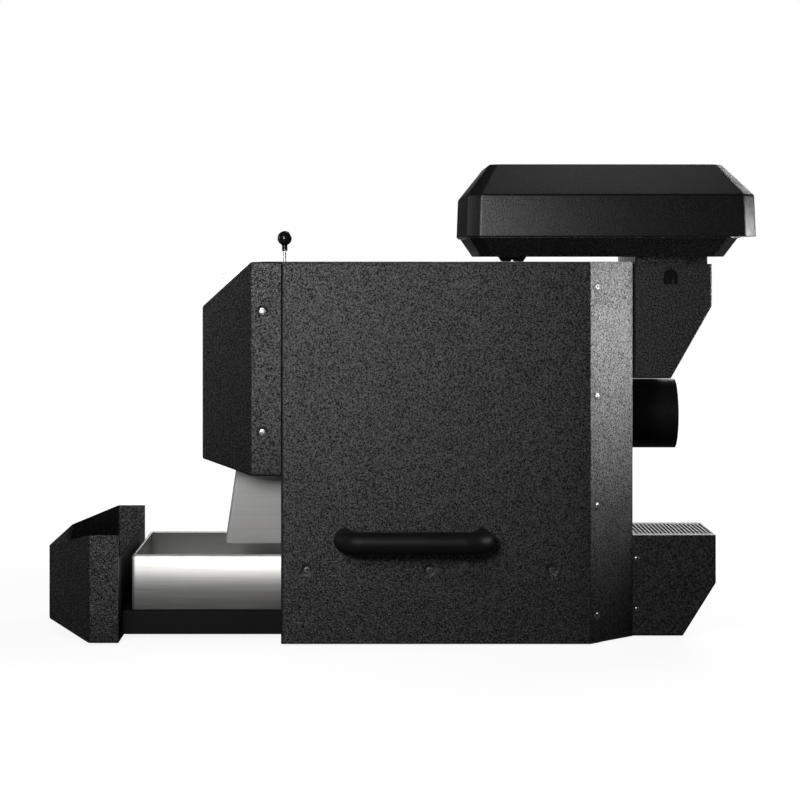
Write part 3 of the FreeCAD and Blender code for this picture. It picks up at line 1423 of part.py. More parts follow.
def impeller(name, frame_size, front, y, z):
    """Axial fan wheel: hub on the axle and twisted blades in a polar pattern."""
    body = new_body(front, y, z)
    hub_start = "(fan_boss_depth + fan_running_gap)"
    hub = new_sketch(body, "YZ", hub_start)
    circle(hub, "0", "0", "fan_hub_radius")
    circle(hub, "0", "0", "fan_axle_radius + running_fit")
    pad(body, hub, f"fan_depth - 2*fan_running_gap - {hub_start}")
    blade = new_sketch(body, "XY", "fan_hub_radius - fan_blade_root")
    start, end = f"({hub_start} + fan_running_gap)", "(fan_depth - 3*fan_running_gap)"
    half = "fan_blade_width/2"
    corners(blade, [(start, f"-{half}"), (f"{start} + fan_blade_wall", f"-{half}"),
                    (end, half), (f"{end} - fan_blade_wall", half)])
    reach = f"{frame_size}/2 - fan_rim - 3*fan_running_gap - fan_hub_radius + fan_blade_root"
    doc.recompute()
    wing = pad(body, blade, reach)
    wheel = body.newObject("PartDesign::PolarPattern", "Blades")
    wheel.Originals = [wing]
    turn = next(f for f in body.Origin.OriginFeatures if f.Role == "X_Axis")
    wheel.Axis = (turn, [""])
    wheel.Angle = 360
    bind(wheel, "Occurrences", "fan_blade_count")
    body.Tip = wheel
    keep(name, body)


def fans():
    front = f"({REAR_INSIDE} - fan_depth)"
    inner = fan_frame("fan_size", front, "0", SPIGOT_Z)
    outer = fan_frame("cooling_fan_size", REAR, "-cooling_fan_side", FAN_Z)
    keep("fan_frames", group([inner, outer]))
    impeller("exhaust_impeller", "fan_size", front, "0", SPIGOT_Z)
    impeller("cooling_impeller", "cooling_fan_size", REAR, "-cooling_fan_side", FAN_Z)


def exhaust_plenum():
    """Sheet box that leads the cleaned air to the exhaust fan."""
    front = f"({REAR_INSIDE} - plenum_length)"
    low = f"({SPIGOT_Z} - {PLENUM_HALF})"
    outer = box((front, f"-({PLENUM_HALF} + duct_wall)", f"{low} - duct_wall"),
                (REAR_INSIDE, f"({PLENUM_HALF} + duct_wall)", "foot_proud + plenum_top"))
    inner = box((f"{front} + duct_wall", f"-{PLENUM_HALF}", low),
                (f"{REAR_INSIDE} + {OVERCUT}", PLENUM_HALF, "foot_proud + plenum_top - duct_wall"))
    keep("exhaust_plenum", cut(outer, inner))


def rear_cowl():
    """Sheet cowl over the cooling fan, and the slotted sheet in its top."""
    near, far = "(-cowl_near_side)", "(cowl_width - cowl_near_side)"
    points = [
        (REAR, "foot_proud"),
        (f"{REAR} + cowl_bottom_reach", "foot_proud"),
        (COWL_REAR, "foot_proud + cowl_corner_height"),
        (COWL_REAR, COWL_TOP),
        (REAR, COWL_TOP),
    ]
    body = prism("XZ", points, near, far)
    shelled(body, "duct_wall", lambda face: faces_way(face, -1, 0, 0)
            or faces_way(face, 0, 0, 1), "bend_radius")
    holes = [stud(place, (0, -1, 0), "shank_hole", "-shank_length", "1")
             for place in cowl_screw_places()]
    keep("rear_cowl", cut(body, *holes))
    grille = new_body()
    slack = "grille_clearance"
    low = f"({COWL_TOP} - duct_wall)"
    start, end = f"({REAR} + {slack})", f"({COWL_REAR} - duct_wall - {slack})"
    low_y, high_y = f"({near} + duct_wall + {slack})", f"({far} - duct_wall - {slack})"
    plate = new_sketch(grille, "XY", low)
    corners(plate, [(start, low_y), (end, low_y), (end, high_y), (start, high_y)])
    pad(grille, plate, "duct_wall")
    slotted(grille, (f"{start} + grille_margin", f"{near} + grille_end"),
            ("grille_slot_width", "cowl_width - 2*grille_end"), low, "duct_wall",
            "grille_slot_count", "grille_slot_pitch")
    keep("cowl_grille", grille)


def chaff_tray():
    """Tapered lower half of the chaff box with its rim, and the neck into the rear duct."""
    s = sizes()
    wall = s.box_wall
    low = s.foot_proud + s.casing_height + s.box_lift
    high = low + s.box_height
    rim_high = high + s.lid_gap - s.lid_seat_gap
    front, rear = s.casing_length - s.box_lead, s.casing_length + s.box_overhang
    half, corner = s.box_half_width, s.box_corner
    taper, lap = s.box_taper, s.box_rim_lap
    pan = folded(
        [plan_ring(front + taper, rear - taper, half - taper, corner, low),
         plan_ring(front, rear, half, corner, high)],
        [plan_ring(front + taper + wall, rear - taper - wall, half - taper - wall, corner,
                   low + wall),
         plan_ring(front + wall, rear - wall, half - wall, corner, high + 0.01)])
    rim = folded(
        [plan_ring(front - lap, rear + lap, half + lap, corner, high),
         plan_ring(front - lap, rear + lap, half + lap, corner, rim_high)],
        [plan_ring(front + wall, rear - wall, half - wall, corner, high - 1),
         plan_ring(front + wall, rear - wall, half - wall, corner, rim_high + 1)])
    inner_half = "(collar_width/2 - duct_wall)"
    hole = box((f"{COLLAR_FRONT} + duct_wall", f"-{inner_half}", f"{BOX_LOW} - {OVERCUT}"),
               (f"{COLLAR_REAR} - duct_wall", inner_half, f"{BOX_LOW} + box_wall + {OVERCUT}"))
    keep("chaff_tray", fused(cut(pan, hole), rim, box_collar()))


def box_collar():
    """Rectangular neck under the chaff box that drops into the rear duct."""
    half = "(collar_width/2)"
    low = f"({DUCT_TOP} - collar_depth)"
    outer = box((COLLAR_FRONT, f"-{half}", low), (COLLAR_REAR, half, BOX_LOW))
    inner = box((f"{COLLAR_FRONT} + duct_wall", f"-({half} - duct_wall)", f"{low} - {OVERCUT}"),
                (f"{COLLAR_REAR} - duct_wall", f"({half} - duct_wall)", f"{BOX_LOW} + {OVERCUT}"))
    wall = box((f"{REAR} + divider_reach - duct_wall", f"-({half} - duct_wall)", low),
               (f"{REAR} + divider_reach", f"({half} - duct_wall)", BOX_LOW))
    return fused(cut(outer, inner), wall)


def chaff_screen():
    """Slotted screen across the box, before the return opening."""
    body = new_body()
    half = "(screen_width/2)"
    low = f"({BOX_LOW} + box_wall)"
    start = "(casing_length + divider_reach - duct_wall)"
    plate = new_sketch(body, "XZ", half)
    corners(plate, [(start, low), (f"{start} + screen_wall", low),
                    (f"{start} + screen_wall", f"{low} + screen_height"),
                    (start, f"{low} + screen_height")])
    pad(body, plate, "screen_width")
    doc.recompute()
    slot = new_sketch(body, "YZ", start)
    first = f"(-{half} + screen_margin)"
    corners(slot, [(first, f"{low} + screen_margin"),
                   (f"{first} + screen_slot_width", f"{low} + screen_margin"),
                   (f"{first} + screen_slot_width", f"{low} + screen_height - screen_margin"),
                   (first, f"{low} + screen_height - screen_margin")])
    pattern(body, [pocket(body, slot, "2*screen_wall")], "Y", "screen_slot_count",
            "screen_slot_pitch")
    keep("chaff_screen", body)


def box_foot():
    """Small notched foot that rests the box on the casing."""
    half = "(box_foot_width/2)"
    low = f"({TOP} + box_foot_gap)"
    middle = f"({BOX_FOOT_FRONT} + box_foot_top_length/2)"
    end = f"({BOX_FOOT_FRONT} + box_foot_top_length)"
    block = prism("XZ", [(BOX_FOOT_FRONT, BOX_LOW), (f"{BOX_FOOT_FRONT} + box_foot_taper", low),
                         (f"{end} - box_foot_taper", low), (end, BOX_LOW)], f"-{half}", half)
    notch = rod("y", "box_foot_taper", f"-{half} - {OVERCUT}", f"{half} + {OVERCUT}",
                (middle, f"{low} - {OVERCUT}"))
    keep("box_foot", cut(block, notch))


def chaff_cover():
    """Hat-shaped cover: a flared band, a bevel up to a flat top, and a return below."""
    s = sizes()
    wall = s.sheet_wall
    low = s.foot_proud + s.casing_height + s.box_lift + s.box_height + s.lid_gap
    shoulder = low + s.lid_band
    crown = shoulder + s.lid_rise
    rear = s.casing_length + s.lid_overhang
    front, half = rear - s.lid_length, s.lid_width / 2
    flare, corner = s.lid_flare, s.lid_corner
    top, top_side, top_corner = s.lid_top_inset, s.lid_top_side_inset, s.lid_top_corner
    edge = s.lid_return
    shell = folded(
        [plan_ring(front, rear, half, corner, low),
         plan_ring(front + flare, rear - flare, half - flare, corner, shoulder),
         plan_ring(front + top, rear - top, half - top_side, top_corner, crown)],
        [plan_ring(front + wall, rear - wall, half - wall, corner, low + wall),
         plan_ring(front + flare + wall, rear - flare - wall, half - flare - wall, corner,
                   shoulder - wall * MITRE),
         plan_ring(front + top + wall, rear - top - wall, half - top_side - wall, top_corner,
                   crown - wall)])
    mouth = doc.addObject("Part::Feature", "Mouth")
    mouth.Shape = faceted([plan_ring(front + edge, rear - edge, half - edge, corner, low - 1),
                           plan_ring(front + edge, rear - edge, half - edge, corner,
                                     low + 2 * wall)])
    put(mouth, "0", "0", "0")
    keep("chaff_cover", group([cut(shell, mouth), hinge_leaf()]))


def cover_hinge():
    """Pin hinge under the cover's rear edge: outer knuckles fixed, middle one on the cover."""
    knuckle = "hinge_knuckle"
    inner, outer = f"({knuckle}/2 + hinge_gap)", f"({knuckle}*3/2)"
    axis = (HINGE_X, HINGE_Z)
    fixed = [rod("y", "hinge_pin_radius", f"-{outer}", outer, axis)]
    for span in ((f"-{outer}", f"-{inner}"), (inner, outer)):
        fixed.append(rod("y", "hinge_radius", *span, axis))
        fixed.append(box((BOX_REAR, span[0], f"{BOX_RIM} - hinge_leaf_wall"),
                         (HINGE_X, span[1], BOX_RIM)))
    keep("hinge_base", fused(*fixed))


def hinge_leaf():
    """The cover's own knuckle and its leaf."""
    knuckle = "hinge_knuckle"
    axis = (HINGE_X, HINGE_Z)
    leaf = box((HINGE_X, f"-{knuckle}/2", HINGE_Z),
               (f"{HINGE_X} + hinge_radius", f"{knuckle}/2", LID_LOW))
    barrel = rod("y", "hinge_radius", f"-{knuckle}/2", f"{knuckle}/2", axis)
    bore = rod("y", "hinge_pin_radius + running_fit", f"-{knuckle}/2 - {OVERCUT}",
               f"{knuckle}/2 + {OVERCUT}", axis)
    return cut(fused(barrel, leaf), bore)


def rails():
    """Rails screwed inside the side panels, and the runners on the tray that ride in them."""
    start = "(bulkhead_wall + rail_setback)"
    end = f"({start} + rail_length)"
    low, high = f"({RAIL_Z} - rail_height/2)", f"({RAIL_Z} + rail_height/2)"
    fixed = []
    moving = []
    for side in (-1, 1):
        mouth = "(tray_width/2 + 2*rail_clearance)"
        web = "(tray_width/2 + runner_depth + rail_clearance)"
        span = (mouth, INSIDE) if side > 0 else (f"-{INSIDE}", f"-{mouth}")
        near = f"(tray_width/2 - {OVERCUT})"
        gap = (near, web) if side > 0 else (f"-{web}", f"-{near}")
        block = box((start, span[0], low), (end, span[1], high))
        channel = box((f"{start} - {OVERCUT}", gap[0], f"{low} + rail_wall"),
                      (f"{end} + {OVERCUT}", gap[1], f"{high} - rail_wall"))
        hollow = (f"({web} + rail_wall)", f"({INSIDE} - shank_length)")
        hollow = hollow if side > 0 else (f"-{hollow[1]}", f"-{hollow[0]}")
        relief = box((f"{start} - {OVERCUT}", hollow[0], f"{low} + rail_wall"),
                     (f"{end} + {OVERCUT}", hollow[1], f"{high} - rail_wall"))
        holes = [screw_hole(place, (0, side, 0)) for place in rail_screw_places(side)]
        fixed.append(cut(block, channel, relief, *holes))
        reach = ("(tray_width/2)", "(tray_width/2 + runner_depth)")
        reach = reach if side > 0 else (f"-{reach[1]}", f"-{reach[0]}")
        moving.append(box((f"({TRAY_BACK} - runner_length)", reach[0],
                           f"{low} + rail_wall + rail_clearance"),
                          (TRAY_BACK, reach[1], f"{high} - rail_wall - rail_clearance")))
    keep("drawer_rails", group(fixed))
    keep("drawer_runners", group(moving))


def power_inlet():
    """Three-blade appliance inlet in the rear sheet."""
    y, z = "inlet_side", "(foot_proud + inlet_height)"
    half, rise = "inlet_width/2", "inlet_rise/2"
    front = f"({REAR} + inlet_flange_wall)"
    floor = f"({front} - inlet_well)"
    flange = box((REAR, f"{y} - inlet_flange_width/2", f"{z} - inlet_flange_rise/2"),
                 (front, f"{y} + inlet_flange_width/2", f"{z} + inlet_flange_rise/2"))
    case = box((f"{REAR} - inlet_depth", f"{y} - {half}", f"{z} - {rise}"),
               (REAR, f"{y} + {half}", f"{z} + {rise}"))
    well = box((floor, f"{y} - {half} + inlet_wall", f"{z} - {rise} + inlet_wall"),
               (f"{front} + {OVERCUT}", f"{y} + {half} - inlet_wall",
                f"{z} + {rise} - inlet_wall"))
    blades = []
    for i, lift in ((-1, -1), (0, 1), (1, -1)):
        blade_y = f"({y} + {i}*inlet_blade_spacing)"
        blade_z = f"({z} + {lift}*inlet_blade_lift)"
        blades.append(box((floor, f"{blade_y} - inlet_blade_wall/2",
                           f"{blade_z} - inlet_blade_width/2"),
                          (f"{floor} + inlet_blade_length", f"{blade_y} + inlet_blade_wall/2",
                           f"{blade_z} + inlet_blade_width/2")))
    keep("power_inlet", fused(cut(fused(flange, case), well), *blades))


def power_switch():
    """Switch frame in the rear sheet and its rocker on a cross pin."""
    y, z = "switch_side", "(foot_proud + switch_height)"
    half, rise = "(switch_width/2)", "(switch_rise/2)"
    outer_half, outer_rise = f"({half} + switch_bezel)", f"({rise} + switch_bezel)"
    inner_half, inner_rise = f"({half} - switch_bezel)", f"({rise} - switch_bezel)"
    pin_x = f"({REAR} - rocker_pin_depth)"
    flange = box((REAR, f"{y} - {outer_half}", f"{z} - {outer_rise}"),
                 (f"{REAR} + switch_flange", f"{y} + {outer_half}", f"{z} + {outer_rise}"))
    case = box((f"{REAR} - switch_depth", f"{y} - {half}", f"{z} - {rise}"),
               (REAR, f"{y} + {half}", f"{z} + {rise}"))
    well = box((f"{REAR} - switch_depth + switch_bezel", f"{y} - {inner_half}",
                f"{z} - {inner_rise}"),
               (f"{REAR} + switch_flange + {OVERCUT}", f"{y} + {inner_half}",
                f"{z} + {inner_rise}"))
    pin = rod("y", "rocker_pin_radius", f"{y} - {inner_half}", f"{y} + {inner_half}", (pin_x, z))
    keep("switch_frame", fused(cut(fused(flange, case), well), pin))
    across = f"({inner_half} - rocker_gap)"
    tall = f"({inner_rise} - 2*rocker_gap)"
    back = f"{REAR} - rocker_back"
    face = prism("XZ", [
        (back, f"{z} - rocker_back_half"), (pin_x, f"{z} - {tall}"),
        (f"{REAR} + switch_flange", f"{z} - {tall}"), (f"{REAR} + rocker_dip", z),
        (f"{REAR} + rocker_proud", f"{z} + {tall} - 2*rocker_gap"),
        (pin_x, f"{z} + {tall}"), (back, f"{z} + rocker_back_half")],
        f"{y} - {across}", f"{y} + {across}")
    bore = rod("y", "rocker_pin_radius + running_fit", f"{y} - {half}", f"{y} + {half}",
               (pin_x, z))
    keep("switch_rocker", cut(face, bore))


def power_board():
    """Mains board on four posts inside the far side panel."""
    start, end = "power_board_start", "(power_board_start + power_board_length)"
    low = "(foot_proud + power_board_bottom)"
    high = "(foot_proud + power_board_bottom + power_board_height)"
    face = f"({INSIDE} - power_board_standoff)"
    pieces = [box((start, f"{face} - board_wall", low), (end, face, high))]
    inset = "power_board_post_inset"
    for along in (f"{start} + {inset}", f"{end} - {inset}"):
        for up in (f"{low} + {inset}", f"{high} - {inset}"):
            pieces.append(rod("y", "power_board_post_radius", face, INSIDE, (along, up)))
    return pieces


def screws():
    """Every group of like screws."""
    strip = []
    rail = []
    hood = []
    for side in (-1, 1):
        wing_out = (DIAGONAL, side * DIAGONAL, 0)
        out = (0, side, 0)
        strip += [screw(p, wing_out, "pan_head_radius", "pan_head_height")
                  for p in strip_screw_places(side)]
        rail += [screw(p, out, "dimple_head_radius", "dimple_head_height", "dimple_depth")
                 for p in rail_screw_places(side)]
        hood += [screw(p, out, "dimple_head_radius", "dimple_head_height", "dimple_depth")
                 for p in hood_screw_places(side)]
    cowl = [screw(p, (0, -1, 0), "cowl_screw_radius", "cowl_screw_height")
            for p in cowl_screw_places()]
    keep("casing_screws", group(strip + rail + hood + cowl))


def build():
    """Make every sub-part."""
    fill_sheet()
    base_plate()
    rubber_feet()
    for name, side in (("left", -1), ("right", 1)):
        side_panel(f"side_panel_{name}", side)
    keep("handle_plates", group([handle_plate(side) for side in (-1, 1)]))
    keep("carry_handles", group([carry_handle(side) for side in (-1, 1)]))
    rear_panel()
    top_cover()
    front_bulkhead()
    front_hood()
    control_panel()
    hopper_chute()
    discharge_chute()
    charging_gate()
    gate_guides()
    discharge_door()
    door_bracket()
    drawer_front()
    drawer_back()
    drawer_base()
    cooling_tray()
    tray_floor()
    rails()
    oven()
    drum_front_plate()
    bean_probe()
    drum()
    bearings()
    drive()
    heaters()
    drum_duct()
    exhaust_duct()
    exhaust_spigot()
    fans()
    exhaust_plenum()
    rear_cowl()
    chaff_tray()
    chaff_screen()
    box_foot()
    chaff_cover()
    cover_hinge()
    power_inlet()
    power_switch()
    keep("circuit_boards", group([control_board()] + power_board()))
    screws()
    doc.recompute()


def check():
    """Stop if anything failed to build."""
    for thing in doc.Objects:
        if "Invalid" in thing.State or "Error" in thing.State:
            raise RuntimeError(f"{thing.Label} did not build: {thing.State}")
    for thing in nodes:
        if thing.Shape.isNull() or not thing.Shape.isValid():
            raise RuntimeError(f"{thing.Label} has no valid shape")


def write():
    """One STEP file for each sub-part."""
    os.makedirs("parts", exist_ok=True)
    for thing in nodes:
        thing.Shape.exportStep(f"parts/{thing.Label}.step")
    print(len(nodes), "sub-parts")


build()
check()
write()
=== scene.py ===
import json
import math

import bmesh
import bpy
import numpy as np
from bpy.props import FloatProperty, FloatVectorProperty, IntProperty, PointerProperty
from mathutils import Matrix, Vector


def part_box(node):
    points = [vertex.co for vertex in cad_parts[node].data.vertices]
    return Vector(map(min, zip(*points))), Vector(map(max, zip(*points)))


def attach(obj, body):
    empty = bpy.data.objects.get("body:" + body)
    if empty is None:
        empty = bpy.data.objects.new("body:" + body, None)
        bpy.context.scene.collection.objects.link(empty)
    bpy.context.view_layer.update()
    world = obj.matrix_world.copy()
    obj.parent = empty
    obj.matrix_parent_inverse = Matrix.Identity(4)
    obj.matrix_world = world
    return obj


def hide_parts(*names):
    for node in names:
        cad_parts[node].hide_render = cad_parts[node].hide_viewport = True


bl_info = {
    "name": "Home Bean Roaster",
    "version": (1, 0, 0),
    "blender": (4, 5, 0),
    "location": "3D View > Sidebar > Roaster",
    "description": "Dresses the roaster's frame in folded sheet, screws, steel and finishes",
    "category": "Object",
}

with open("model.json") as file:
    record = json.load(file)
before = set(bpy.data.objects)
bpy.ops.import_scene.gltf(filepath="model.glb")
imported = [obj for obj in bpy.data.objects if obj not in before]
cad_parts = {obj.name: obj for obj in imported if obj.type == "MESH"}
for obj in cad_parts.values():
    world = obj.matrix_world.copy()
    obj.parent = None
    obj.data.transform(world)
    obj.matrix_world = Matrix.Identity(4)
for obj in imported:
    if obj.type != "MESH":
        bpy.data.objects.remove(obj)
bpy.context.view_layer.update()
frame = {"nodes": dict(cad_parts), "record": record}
HALF_TURN = math.pi
FLUSH = 1e-6
DIMPLE_RING = 1.1

# The studio's lamps: place, aim, size, power and spread in degrees.
LAMPS = {
    "Front": ((-0.27, -1.05, 0.42), (-0.15, -0.14, 0.28), (0.22, 0.22), 4.4, 180),
    "High": ((-0.40, -1.00, 0.80), (-0.10, -0.14, 0.28), (0.22, 0.22), 3.2, 180),
    "Far": ((-0.35, -2.20, 0.75), (-0.05, -0.14, 0.28), (0.40, 0.40), 1.2, 180),
    "Wing": ((0.85, -0.10, 0.34), (0.21, -0.12, 0.30), (0.22, 0.16), 0.5, 50),
    "Left": ((-1.60, 0.30, 0.60), (0.00, 0.00, 0.30), (0.50, 0.80), 2.4, 180),
    "Top": ((0.37, 0.81, 1.81), (0.20, -0.10, 0.46), (0.60, 0.60), 0.8, 180),
    "Behind": ((1.10, 2.00, 1.10), (0.10, 0.14, 0.25), (1.20, 0.80), 16.0, 180),
    "Back": ((0.30, 0.90, 0.36), (0.30, 0.00, 0.30), (0.48, 0.50), 1.6, 180),
}
FLOOR_REACH = 6.0
SHADE_START, SHADE_END = 0.5, 1.2
WORLD_LEVEL = 0.03
CAMERA_PLACE = (-0.03595, -2.425, 0.388)
CAMERA_LENS = 102.8
CAMERA_SHIFT = (0.04375, -0.1775)


def length(name, words, default):
    """A size in metres for the sidebar."""
    return FloatProperty(name=name, description=words, default=default, unit="LENGTH",
                         precision=4, min=0.0)


def colour(name, words, default):
    """A linear colour for the sidebar."""
    return FloatVectorProperty(name=name, description=words, default=default, size=3,
                               subtype="COLOR", min=0.0, max=1.0)


class RoasterSheet(bpy.types.PropertyGroup):
    """Sizes that every folded sheet shares."""
    wall: length("Sheet", "Thickness of the folded sheet", 0.0012)
    fold: length("Fold", "How far a fold's curve reaches along each side", 0.0022)
    curve_steps: IntProperty(name="Curve steps", description="Faces round each fold",
                             default=5, min=1)


class RoasterHood(bpy.types.PropertyGroup):
    """Sizes of the faceted hood."""
    flange: length("Flange", "Depth of the straight flange", 0.0299)
    inset: length("Inset", "How far the front plate is drawn in at each side", 0.048)
    top_drop: length("Top drop", "Fall of the upper facet", 0.0455)
    bottom_rise: length("Bottom rise", "Rise of the lower facet", 0.0133)
    mouth_front: length("Mouth front", "Front of the hopper's opening, from the casing", 0.0621)
    mouth_back: length("Mouth back", "Back of the hopper's opening, from the casing", 0.0191)
    mouth_half: length("Mouth half", "Half the hopper opening's width", 0.0398)
    chute_half: length("Chute half", "Half the chute opening's width", 0.0553)
    chute_front: length("Chute front", "Front of the chute's opening, from the casing", 0.0618)
    notch_half: length("Notch half", "Half the rod notch's width", 0.003)
    notch_depth: length("Notch", "Front of the rod's notch, from the casing", 0.0053)


class RoasterDrawer(bpy.types.PropertyGroup):
    """Sizes of the drawer's faceted front."""
    flange: length("Flange", "Depth of the straight flange", 0.0297)
    inset: length("Inset", "How far the front plate is drawn in at each side", 0.048)
    front_drop: length("Front drop", "Fall of the side's top edge", 0.016)
    front_rise: length("Front rise", "Rise of the lower facet", 0.0175)
    hem: length("Hem", "Width of the folded hem at the back", 0.0045)


class RoasterCover(bpy.types.PropertyGroup):
    """Sizes of the chaff box's hat-shaped cover."""
    band: length("Band", "Height of the upright band", 0.0421)
    flare: length("Flare", "How far the band widens downwards", 0.0015)
    corner: length("Corner", "Cut at each upright corner", 0.013)
    top_inset: length("Top inset", "Bevel's run at the ends", 0.0265)
    side_inset: length("Side inset", "Bevel's run at the sides", 0.0595)
    top_corner: length("Top corner", "Cut at the top's corners", 0.0075)
    lip: length("Return", "Width of the return below the band", 0.015)
    height: length("Height", "From the band's foot to the top", 0.0748)
    crown: length("Crown", "Half the size of the top's middle field", 0.02)
    crown_corner: length("Crown corner", "Cut at the middle field's corners", 0.005)
    knuckle_half: length("Knuckle half", "Half the hinge knuckle's length", 0.012)
    knuckle_radius: length("Knuckle", "Radius of the hinge knuckle", 0.0024)
    knuckle_bore: length("Knuckle bore", "Radius of the knuckle's bore", 0.00125)
    knuckle_setback: length("Hinge", "From the cover's back to the hinge's axis", 0.0113)


class RoasterScrews(bpy.types.PropertyGroup):
    """Sizes of the screws and the dimples round them."""
    pan_radius: length("Pan head", "Radius of a pan head", 0.004)
    pan_height: length("Pan height", "Height of a pan head", 0.0022)
    sunk_radius: length("Sunk head", "Radius of a head that sits in a dimple", 0.0042)
    sunk_height: length("Sunk height", "Height of such a head", 0.0014)
    small_radius: length("Small head", "Radius of the cowl's heads", 0.0026)
    small_height: length("Small height", "Height of the cowl's heads", 0.0016)
    shank_radius: length("Shank", "Radius of the shank", 0.0019)
    shank_length: length("Shank length", "Length of the shank", 0.006)
    dimple_radius: length("Dimple", "Radius of a pressed dimple", 0.0068)
    dimple_depth: length("Dimple depth", "Depth of a pressed dimple", 0.0007)
    foot_proud: length("Feet", "How far the feet stand out below the casing", 0.0016)
    corner_cut: length("Corner cut", "Depth of the rear corner's cut", 0.0483)
    pan_inset: length("Pan inset", "From the cut's edge to its screws", 0.0095)
    pan_top: length("Pan top", "From the top to the first pan head", 0.025)
    pan_pitch: length("Pan pitch", "Between pan heads", 0.110)
    rail_start: length("Rail start", "From the casing's front to the rail's first screw", 0.0249)
    rail_pitch: length("Rail pitch", "Between the rail's screws", 0.1225)
    rail_height: length("Rail height", "Height of the rail's screws", 0.074)
    hood_inset: length("Hood inset", "From the hood's rear edge to its screws", 0.0184)
    hood_height: length("Hood height", "Height of the hood's lower screw", 0.211)
    hood_pitch: length("Hood pitch", "Between the hood's screws", 0.1215)
    cowl_inset: length("Cowl inset", "From the casing's rear to the cowl's screws", 0.0045)
    cowl_height: length("Cowl height", "Height of the cowl's lower screw", 0.0276)
    cowl_pitch: length("Cowl pitch", "Between the cowl's screws", 0.0515)


class RoasterSteel(bpy.types.PropertyGroup):
    """Sizes of the steel tray and chute."""
    tray_corner: length("Tray corner", "Radius of the tray's upright corners", 0.004)
    tray_foot: length("Tray foot", "Radius between the tray's wall and its ledge", 0.002)
    tray_ledge: length("Tray ledge", "Width of the ledge that holds the floor", 0.007)
    tray_roll: length("Tray roll", "Radius of the rolled rim", 0.0011)
    tray_lean: length("Tray lean", "How far the roll stands inside the wall", 0.0008)
    tray_wall: length("Steel", "Thickness of the tray and chute", 0.001)
    chute_top_reach: length("Chute top", "Reach of the chute's front at its top", 0.046)
    chute_fold: length("Chute fold", "Radius of the chute's folds", 0.003)
    chute_corner: length("Chute corner", "Radius of the cheeks' lower corner", 0.004)


class RoasterPull(bpy.types.PropertyGroup):
    """Sizes of the gate's pull below its ball."""
    neck: length("Neck", "Radius of the ball's neck", 0.0035)
    rod: length("Rod", "Radius of the rod", 0.0015)
    sleeve: length("Ferrule", "Radius of the ferrule", 0.0030)
    sleeve_drop: length("Ferrule drop", "From the rod's top to the ferrule's foot", 0.0066)
    sleeve_lap: length("Ferrule lap", "How far the ferrule enters the ball", 0.001)
    sleeve_foot: length("Ferrule foot", "Radius of the ferrule's foot", 0.0025)
    bevel: length("Bevel", "Bevel at the ferrule's ends", 0.0006)


class RoasterPlug(bpy.types.PropertyGroup):
    """Sizes of the plug behind the sight hole."""
    width: length("Width", "Width of the plug", 0.0185)
    height: length("Height", "Height of the plug, its arch included", 0.0198)
    setback: length("Setback", "From the duct's front to the plug's middle", 0.03985)
    drop: length("Drop", "From the duct's top to the plug's arch", 0.0032)
    wall: length("Wall", "Thickness of the plug", 0.0008)
    gap: length("Gap", "Gap between the duct's wall and the plug", 0.0003)


class RoasterPaint(bpy.types.PropertyGroup):
    """Colours of the finishes and the floor."""
    textured: colour("Textured coat", "Textured powder coat", (0.0055, 0.0055, 0.0057))
    smooth: colour("Smooth coat", "Smooth powder coat", (0.0040, 0.0040, 0.0042))
    steel: colour("Steel", "Brushed stainless steel", (0.58, 0.575, 0.56))
    plastic: colour("Plastic", "Moulded plastic", (0.005, 0.005, 0.005))
    ground: colour("Floor", "Floor", (0.14, 0.14, 0.14))


def soft_corner(a, p, b, steps):
    """Points of the curve (1-u)^2 A + 2u(1-u) P + u^2 B, without its ends A and B."""
    u = np.linspace(0, 1, steps + 1)[1:-1, None]
    return [tuple(point) for point in (1 - u)**2 * np.array(a) + 2 * u * (1 - u) * np.array(p)
            + u**2 * np.array(b)]


def rounded_outline(corners, reach, steps):
    """Closed outline with soft corners.

    Each corner P becomes the curve (1-u)^2 A + 2u(1-u) P + u^2 B, where A and B lie at
    the reach along its two sides and u runs from 0 to 1.
    """
    corners = np.asarray(corners, dtype=float)
    before = np.roll(corners, 1, axis=0) - corners
    after = np.roll(corners, -1, axis=0) - corners
    a = corners + reach * before / np.linalg.norm(before, axis=1, keepdims=True)
    b = corners + reach * after / np.linalg.norm(after, axis=1, keepdims=True)
    u = np.linspace(0, 1, steps + 1)[None, :, None]
    curve = (1 - u)**2 * a[:, None] + 2 * u * (1 - u) * corners[:, None] + u**2 * b[:, None]
    return curve.reshape(-1, 2)


def softened(rows, reaches, steps):
    """Rows of points with chosen rows turned into curves of rows.

    A row P with a reach becomes (1-u)^2 A + 2u(1-u) P + u^2 B, where A and B lie at that
    reach towards the rows before and after it. A reach of 0 keeps the row as it is.
    """
    rows = [np.asarray(row, dtype=float) for row in rows]
    made = []
    for i, (row, reach) in enumerate(zip(rows, reaches)):
        if reach == 0:
            made.append(row)
            continue
        ends = []
        for other in (rows[i - 1], rows[i + 1]):
            gap = other - row
            size = np.maximum(np.linalg.norm(gap, axis=1, keepdims=True), 1e-9)
            ends.append(row + gap * np.minimum(reach / size, 0.5))
        for u in np.linspace(0, 1, steps + 1):
            made.append((1 - u)**2 * ends[0] + 2 * u * (1 - u) * row + u**2 * ends[1])
    return np.stack(made)


def grid_faces(rows, columns, closed):
    """Corner numbers of the faces between neighbouring rows and columns of a grid."""
    across = columns if closed else columns - 1
    r, c = np.meshgrid(np.arange(rows - 1), np.arange(across), indexing="ij")
    following = (c + 1) % columns
    quads = (r * columns + c, r * columns + following,
             (r + 1) * columns + following, (r + 1) * columns + c)
    return np.stack(quads, axis=-1).reshape(-1, 4)


